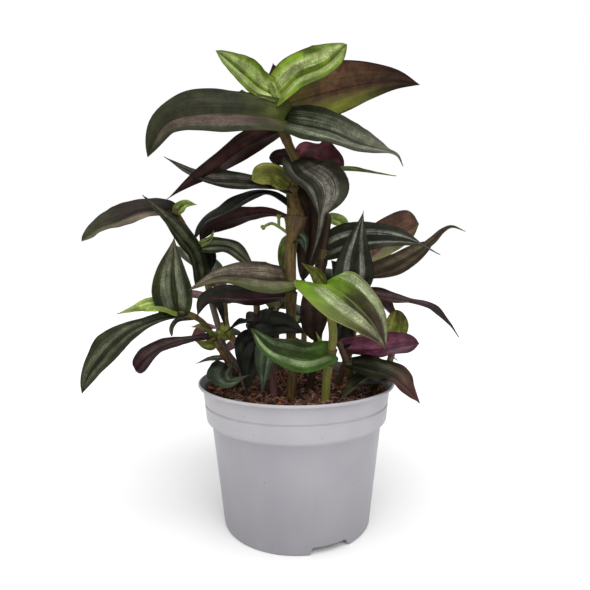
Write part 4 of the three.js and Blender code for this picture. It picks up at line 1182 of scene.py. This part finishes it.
def leaf_material(name, least_roughness):
    """A leaf's face: two silver bands of fine grains and streaks over a mottled ground, parallel
    veins, a midrib, a thin edge, and a root end, a flank and a tip of other tones."""
    g = Graph(name)
    across, along, seed = g.split(g.field("place"))
    reach = g.field("reach")
    side = g.math("ABSOLUTE", across)
    half = g.math("SIGN", across)
    inner, outer, _ = g.split(g.field("band"))
    favour, lean, stripes = g.split(g.field("sides"))

    def strands(wide, long, apart, detail=2.0):
        """Noise drawn out along the leaf, and another on each leaf."""
        parts = (g.times(across, wide), g.times(along, long), g.times(seed, apart))
        return g.noise(g.join(*parts), detail=detail)

    streak = strands(9.0, 1.6, 7.3, detail=3.0)
    fine = strands(34.0, 3.0, 3.1)
    patch = strands(1.7, 3.2, 5.7)
    cloud = g.noise(reach, scale=0.14, detail=3.0, roughness=0.6)
    grain = g.noise(reach, scale=1.8, detail=3.0, roughness=0.8)
    glitter = g.smooth(grain, 0.42, 0.6)
    # The ground, and the flank, the root end and the tip over it.
    flank_strength = g.field("flank", "Alpha")
    flank_side = g.times(across, g.math("SIGN", flank_strength))
    flank = g.times(g.smooth(flank_side, 0.05, 0.6), g.math("ABSOLUTE", flank_strength))
    far = g.sway(along, streak, 0.3)
    root = g.times(g.smooth(far, 0.04, 0.42, 1.0, 0.0), g.field("root", "Alpha"))
    tip = g.times(g.smooth(far, 0.42, 0.95), g.field("tip", "Alpha"))
    ground = g.mottle(g.field("heart", "Color"), cloud, 0.3, 0.7, 0.7, 1.3)
    for share, tone in ((flank, "flank"), (root, "root"), (tip, "tip")):
        ground = g.mix(share, ground, g.field(tone, "Color"))
    # The silver bands, which fade at both ends and under the tip's tone.
    place = g.sway(g.sway(g.math("MULTIPLY_ADD", lean, half, side), streak, 0.34), fine, 0.16)
    band = g.times(
        g.smooth(place, g.math("SUBTRACT", inner, 0.05), g.math("ADD", inner, 0.08)),
        g.smooth(place, g.math("SUBTRACT", outer, 0.1), g.math("ADD", outer, 0.1), 1.0, 0.0),
        g.smooth(along, 0.02, 0.14), g.smooth(along, 0.9, 1.0, 1.0, 0.0),
        g.math("MINIMUM", g.math("MULTIPLY_ADD", favour, half, 1.0), 1.0),
        g.field("silver", "Alpha"), g.math("MULTIPLY_ADD", glitter, 0.5, 0.5),
        g.math("SUBTRACT", 1.0, g.times(stripes, g.smooth(fine, 0.36, 0.58, 1.0, 0.0))),
        g.smooth(cloud, 0.35, 0.6, 0.75, 1.0),
    )
    silver = g.shade(g.field("silver", "Color"), g.math("MULTIPLY_ADD", glitter, 0.4, 0.85))
    colour = g.mix(band, ground, silver)
    colour = g.mix(g.times(tip, 0.5), colour, g.field("tip", "Color"))
    # Veins, mottling, midrib and edge.
    veins = g.smooth(g.math("ABSOLUTE", g.math("SINE", g.times(across, VEINS))), 0.0, 0.5, 1.0, 0.0)
    vein_share = g.times(veins, g.smooth(side, 0.04, 0.12), 0.14)
    colour = g.shade(colour, g.math("SUBTRACT", 1.0, vein_share))
    colour = g.mottle(colour, fine, 0.2, 0.8, 0.82, 1.18)
    colour = g.mottle(colour, streak, 0.25, 0.75, 0.84, 1.16)
    colour = g.mottle(colour, patch, 0.35, 0.65, 0.72, 1.3)
    colour = g.mottle(colour, cloud, 0.35, 0.65, 0.84, 1.16)
    midrib = g.times(g.smooth(side, 0.012, 0.05, 1.0, 0.0), 0.5)
    edge = g.times(g.smooth(side, 0.92, 0.98), g.field("edge", "Alpha"))
    colour = g.mix(g.math("MAXIMUM", midrib, edge), colour, g.field("edge", "Color"))
    relief = g.math("ADD", g.times(veins, -0.5), g.times(grain, 0.5))
    roughness = g.math("MULTIPLY_ADD", fine, 0.2, least_roughness)
    return g.finish(colour, roughness, 0.13, g.bump(relief, 0.00018, 0.8))


def stem_material():
    """Stems and sheaths: fine lengthwise streaks of a second tone, darker at each node."""
    g = Graph("stem")
    reach = g.field("reach")
    streak = g.noise(g.stretch(reach, (1.6, 0.12, 1.6)), detail=3.0, roughness=0.6)
    fine = g.noise(g.stretch(reach, (6.0, 0.5, 6.0)))
    streaked = g.smooth(streak, 0.42, 0.62, 0.0, 0.85)
    colour = g.mix(streaked, g.field("heart", "Color"), g.field("silver", "Color"))
    colour = g.mottle(colour, fine, 0.25, 0.75, 0.62, 1.3)
    node, _, _ = g.split(g.field("band"))
    colour = g.mix(g.times(node, 0.55), colour, NODE_TONE)
    normal = g.bump(g.math("ADD", fine, streak), 0.0002, 0.5)
    return g.finish(colour, g.math("MULTIPLY_ADD", fine, 0.2, 0.4), 0.3, normal)


def hair_material():
    """Pale soft hairs."""
    g = Graph("hair")
    return g.finish(g.mix(g.noise(g.position(), scale=900.0), *HAIR_TONES), 0.6, 0.3)


def pot_material():
    """Grey moulded plastic with a satin skin: a body that grows darker towards the floor as painted
    shade, a collar painted paler as painted light, faint flow marks, specks of dirt and painted shade on
    the inside wall."""
    g = Graph("pot_plastic")
    position = g.position()
    _, _, height = g.split(position)
    inside, _, _ = g.split(g.field("place"))
    below, above = (COLLAR_BOTTOM - 5) * MM, (COLLAR_BOTTOM + 3) * MM
    cloud = g.noise(position, scale=18.0, detail=3.0)
    clouded = g.smooth(cloud, 0.3, 0.7)
    flow = g.noise(g.stretch(position, (60.0, 60.0, 6.0)), detail=3.0, roughness=0.6)
    # Painted shade: the body grows darker towards the floor
    body = g.mottle(g.mix(clouded, *SHADED_BODY_GREYS), height, 0.0, below, 0.86, 1.13)
    # Painted light: the collar is a paler grey than the body
    colour = g.mix(g.smooth(height, below, above), body, g.mix(clouded, *LIT_COLLAR_GREYS))
    colour = g.mottle(colour, flow, 0.25, 0.75, 0.965, 1.03)
    # Painted shade: the inside wall is darkened by a cloudy amount
    inside_shade = g.times(inside, g.smooth(cloud, 0.2, 0.8, 0.6, 0.85))
    colour = g.mix(inside_shade, colour, POT_INSIDE_SHADE)
    speck = g.smooth(g.noise(position, scale=420.0, detail=1.0), 0.7, 0.76)
    rare = g.smooth(g.noise(position, scale=70.0, detail=1.0), 0.56, 0.66)
    colour = g.mix(g.times(speck, rare, 0.5), colour, POT_DIRT)
    normal = g.bump(g.noise(position, scale=2600.0), 0.00003, 0.35)
    return g.finish(colour, g.math("MULTIPLY_ADD", flow, 0.14, 0.36), 0.4, normal)


def mix_material():
    """Dark damp peat with reddish fibres in it."""
    g = Graph("peat")
    position = g.position()
    lumps = g.noise(position, scale=260.0, detail=5.0, roughness=0.7)
    strands = g.noise(g.stretch(position, (900.0, 240.0, 500.0)), detail=3.0)
    colour = g.mix(g.smooth(lumps, 0.35, 0.65), *PEAT_TONES)
    colour = g.mix(g.smooth(strands, 0.58, 0.75, 0.0, 0.6), colour, PEAT_STRANDS)
    return g.finish(colour, 0.9, 0.2, g.bump(g.math("ADD", lumps, strands), 0.0012, 0.9))


def bark_material(name, relief):
    """Bark or fibre in its own tone, with streaks along the grain."""
    g = Graph(name)
    streak = g.noise(g.stretch(g.field("reach"), (2.2, 0.7, 1.4)), detail=4.0, roughness=0.65)
    colour = g.mottle(g.field("heart", "Color"), streak, 0.25, 0.75, 0.55, 1.35)
    return g.finish(colour, 0.85, 0.2, g.bump(streak, relief, 0.8))


def floor_material():
    """A plain white floor."""
    g = Graph("floor")
    return g.finish(g.mix(g.noise(g.position(), scale=3.0), *STAGE_WHITES), 0.9, 0.1)


# Stage

def add_floor():
    """A wide white floor just under the pot."""
    shape = Shape([floor_material()])
    corners = [(-1, -1), (1, -1), (1, 1), (-1, 1)]
    shape.add([(x * STAGE_HALF, y * STAGE_HALF, -STAGE_DROP) for x, y in corners], [[0, 1, 2, 3]], 0)
    shape.make("floor")


def add_world():
    """White all round, which stands behind the plant and lights softly, most from overhead."""
    world = bpy.data.worlds.new("studio")
    bpy.context.scene.world = world
    world.use_nodes = True
    tree = world.node_tree
    tree.nodes.clear()
    nodes = {name: tree.nodes.new("ShaderNode" + kind) for name, kind in (
        ("seen", "Background"), ("light", "Background"), ("place", "TexCoord"), ("parts", "SeparateXYZ"),
        ("strength", "MapRange"), ("path", "LightPath"), ("mix", "MixShader"), ("output", "OutputWorld"),
    )}
    nodes["strength"].inputs["To Min"].default_value = HORIZON_LIGHT
    nodes["strength"].inputs["To Max"].default_value = OVERHEAD_LIGHT
    for name in ("seen", "light"):
        nodes[name].inputs["Color"].default_value = (1.0, 1.0, 1.0, 1.0)
    for source, output, target, socket in (
        ("place", "Generated", "parts", 0), ("parts", "Z", "strength", "Value"),
        ("strength", "Result", "light", "Strength"), ("path", "Is Camera Ray", "mix", 0),
        ("light", 0, "mix", 1), ("seen", 0, "mix", 2), ("mix", 0, "output", 0),
    ):
        tree.links.new(nodes[source].outputs[output], nodes[target].inputs[socket])


def add_lights():
    """Wide soft lamps, from in front and above and from the left."""
    for name, (place, strength) in LAMPS.items():
        data = bpy.data.lights.new(name, "SUN")
        data.angle = math.radians(LAMP_ANGLE)
        data.energy = strength
        lamp = bpy.data.objects.new(name, data)
        bpy.context.scene.collection.objects.link(lamp)
        back = unit(place)
        side = unit(np.cross(UP, back))
        axes = np.eye(4)
        axes[:3, :3] = np.stack([side, np.cross(back, side), back], -1)
        lamp.matrix_world = Matrix(axes.tolist())


def add_camera():
    """The camera where the photograph was taken from."""
    data = bpy.data.cameras.new("camera")
    data.sensor_width = SENSOR
    data.lens = SENSOR * FOCAL_PIXELS / PHOTO_WIDTH
    data.clip_start = NEAREST_SEEN
    camera = bpy.data.objects.new("camera", data)
    bpy.context.scene.collection.objects.link(camera)
    tilt = Matrix.Rotation(math.radians(90 - PITCH), 4, "X")
    roll = Matrix.Rotation(math.radians(ROLL), 4, "Z")
    camera.matrix_world = Matrix.Translation(EYE) @ tilt @ roll
    bpy.context.scene.camera = camera


add_camera()
add_world()
add_lights()
add_floor()
bpy.context.scene.view_settings.view_transform = "Standard"
plant_materials = [
    leaf_material("leaf_upper", UPPER_ROUGHNESS), leaf_material("leaf_under", UNDER_ROUGHNESS),
    stem_material(), hair_material(),
]
make_pot(pot_material())
make_mix_bed(mix_material())
make_chips(bark_material("bark", BARK_RELIEF))
make_fibres(bark_material("coir", COIR_RELIEF))
for order, (stem_name, plan) in enumerate(STEMS.items(), start=1):
    leafy_stem(stem_name, plan, plant_materials, STEM_SEEDS * order)
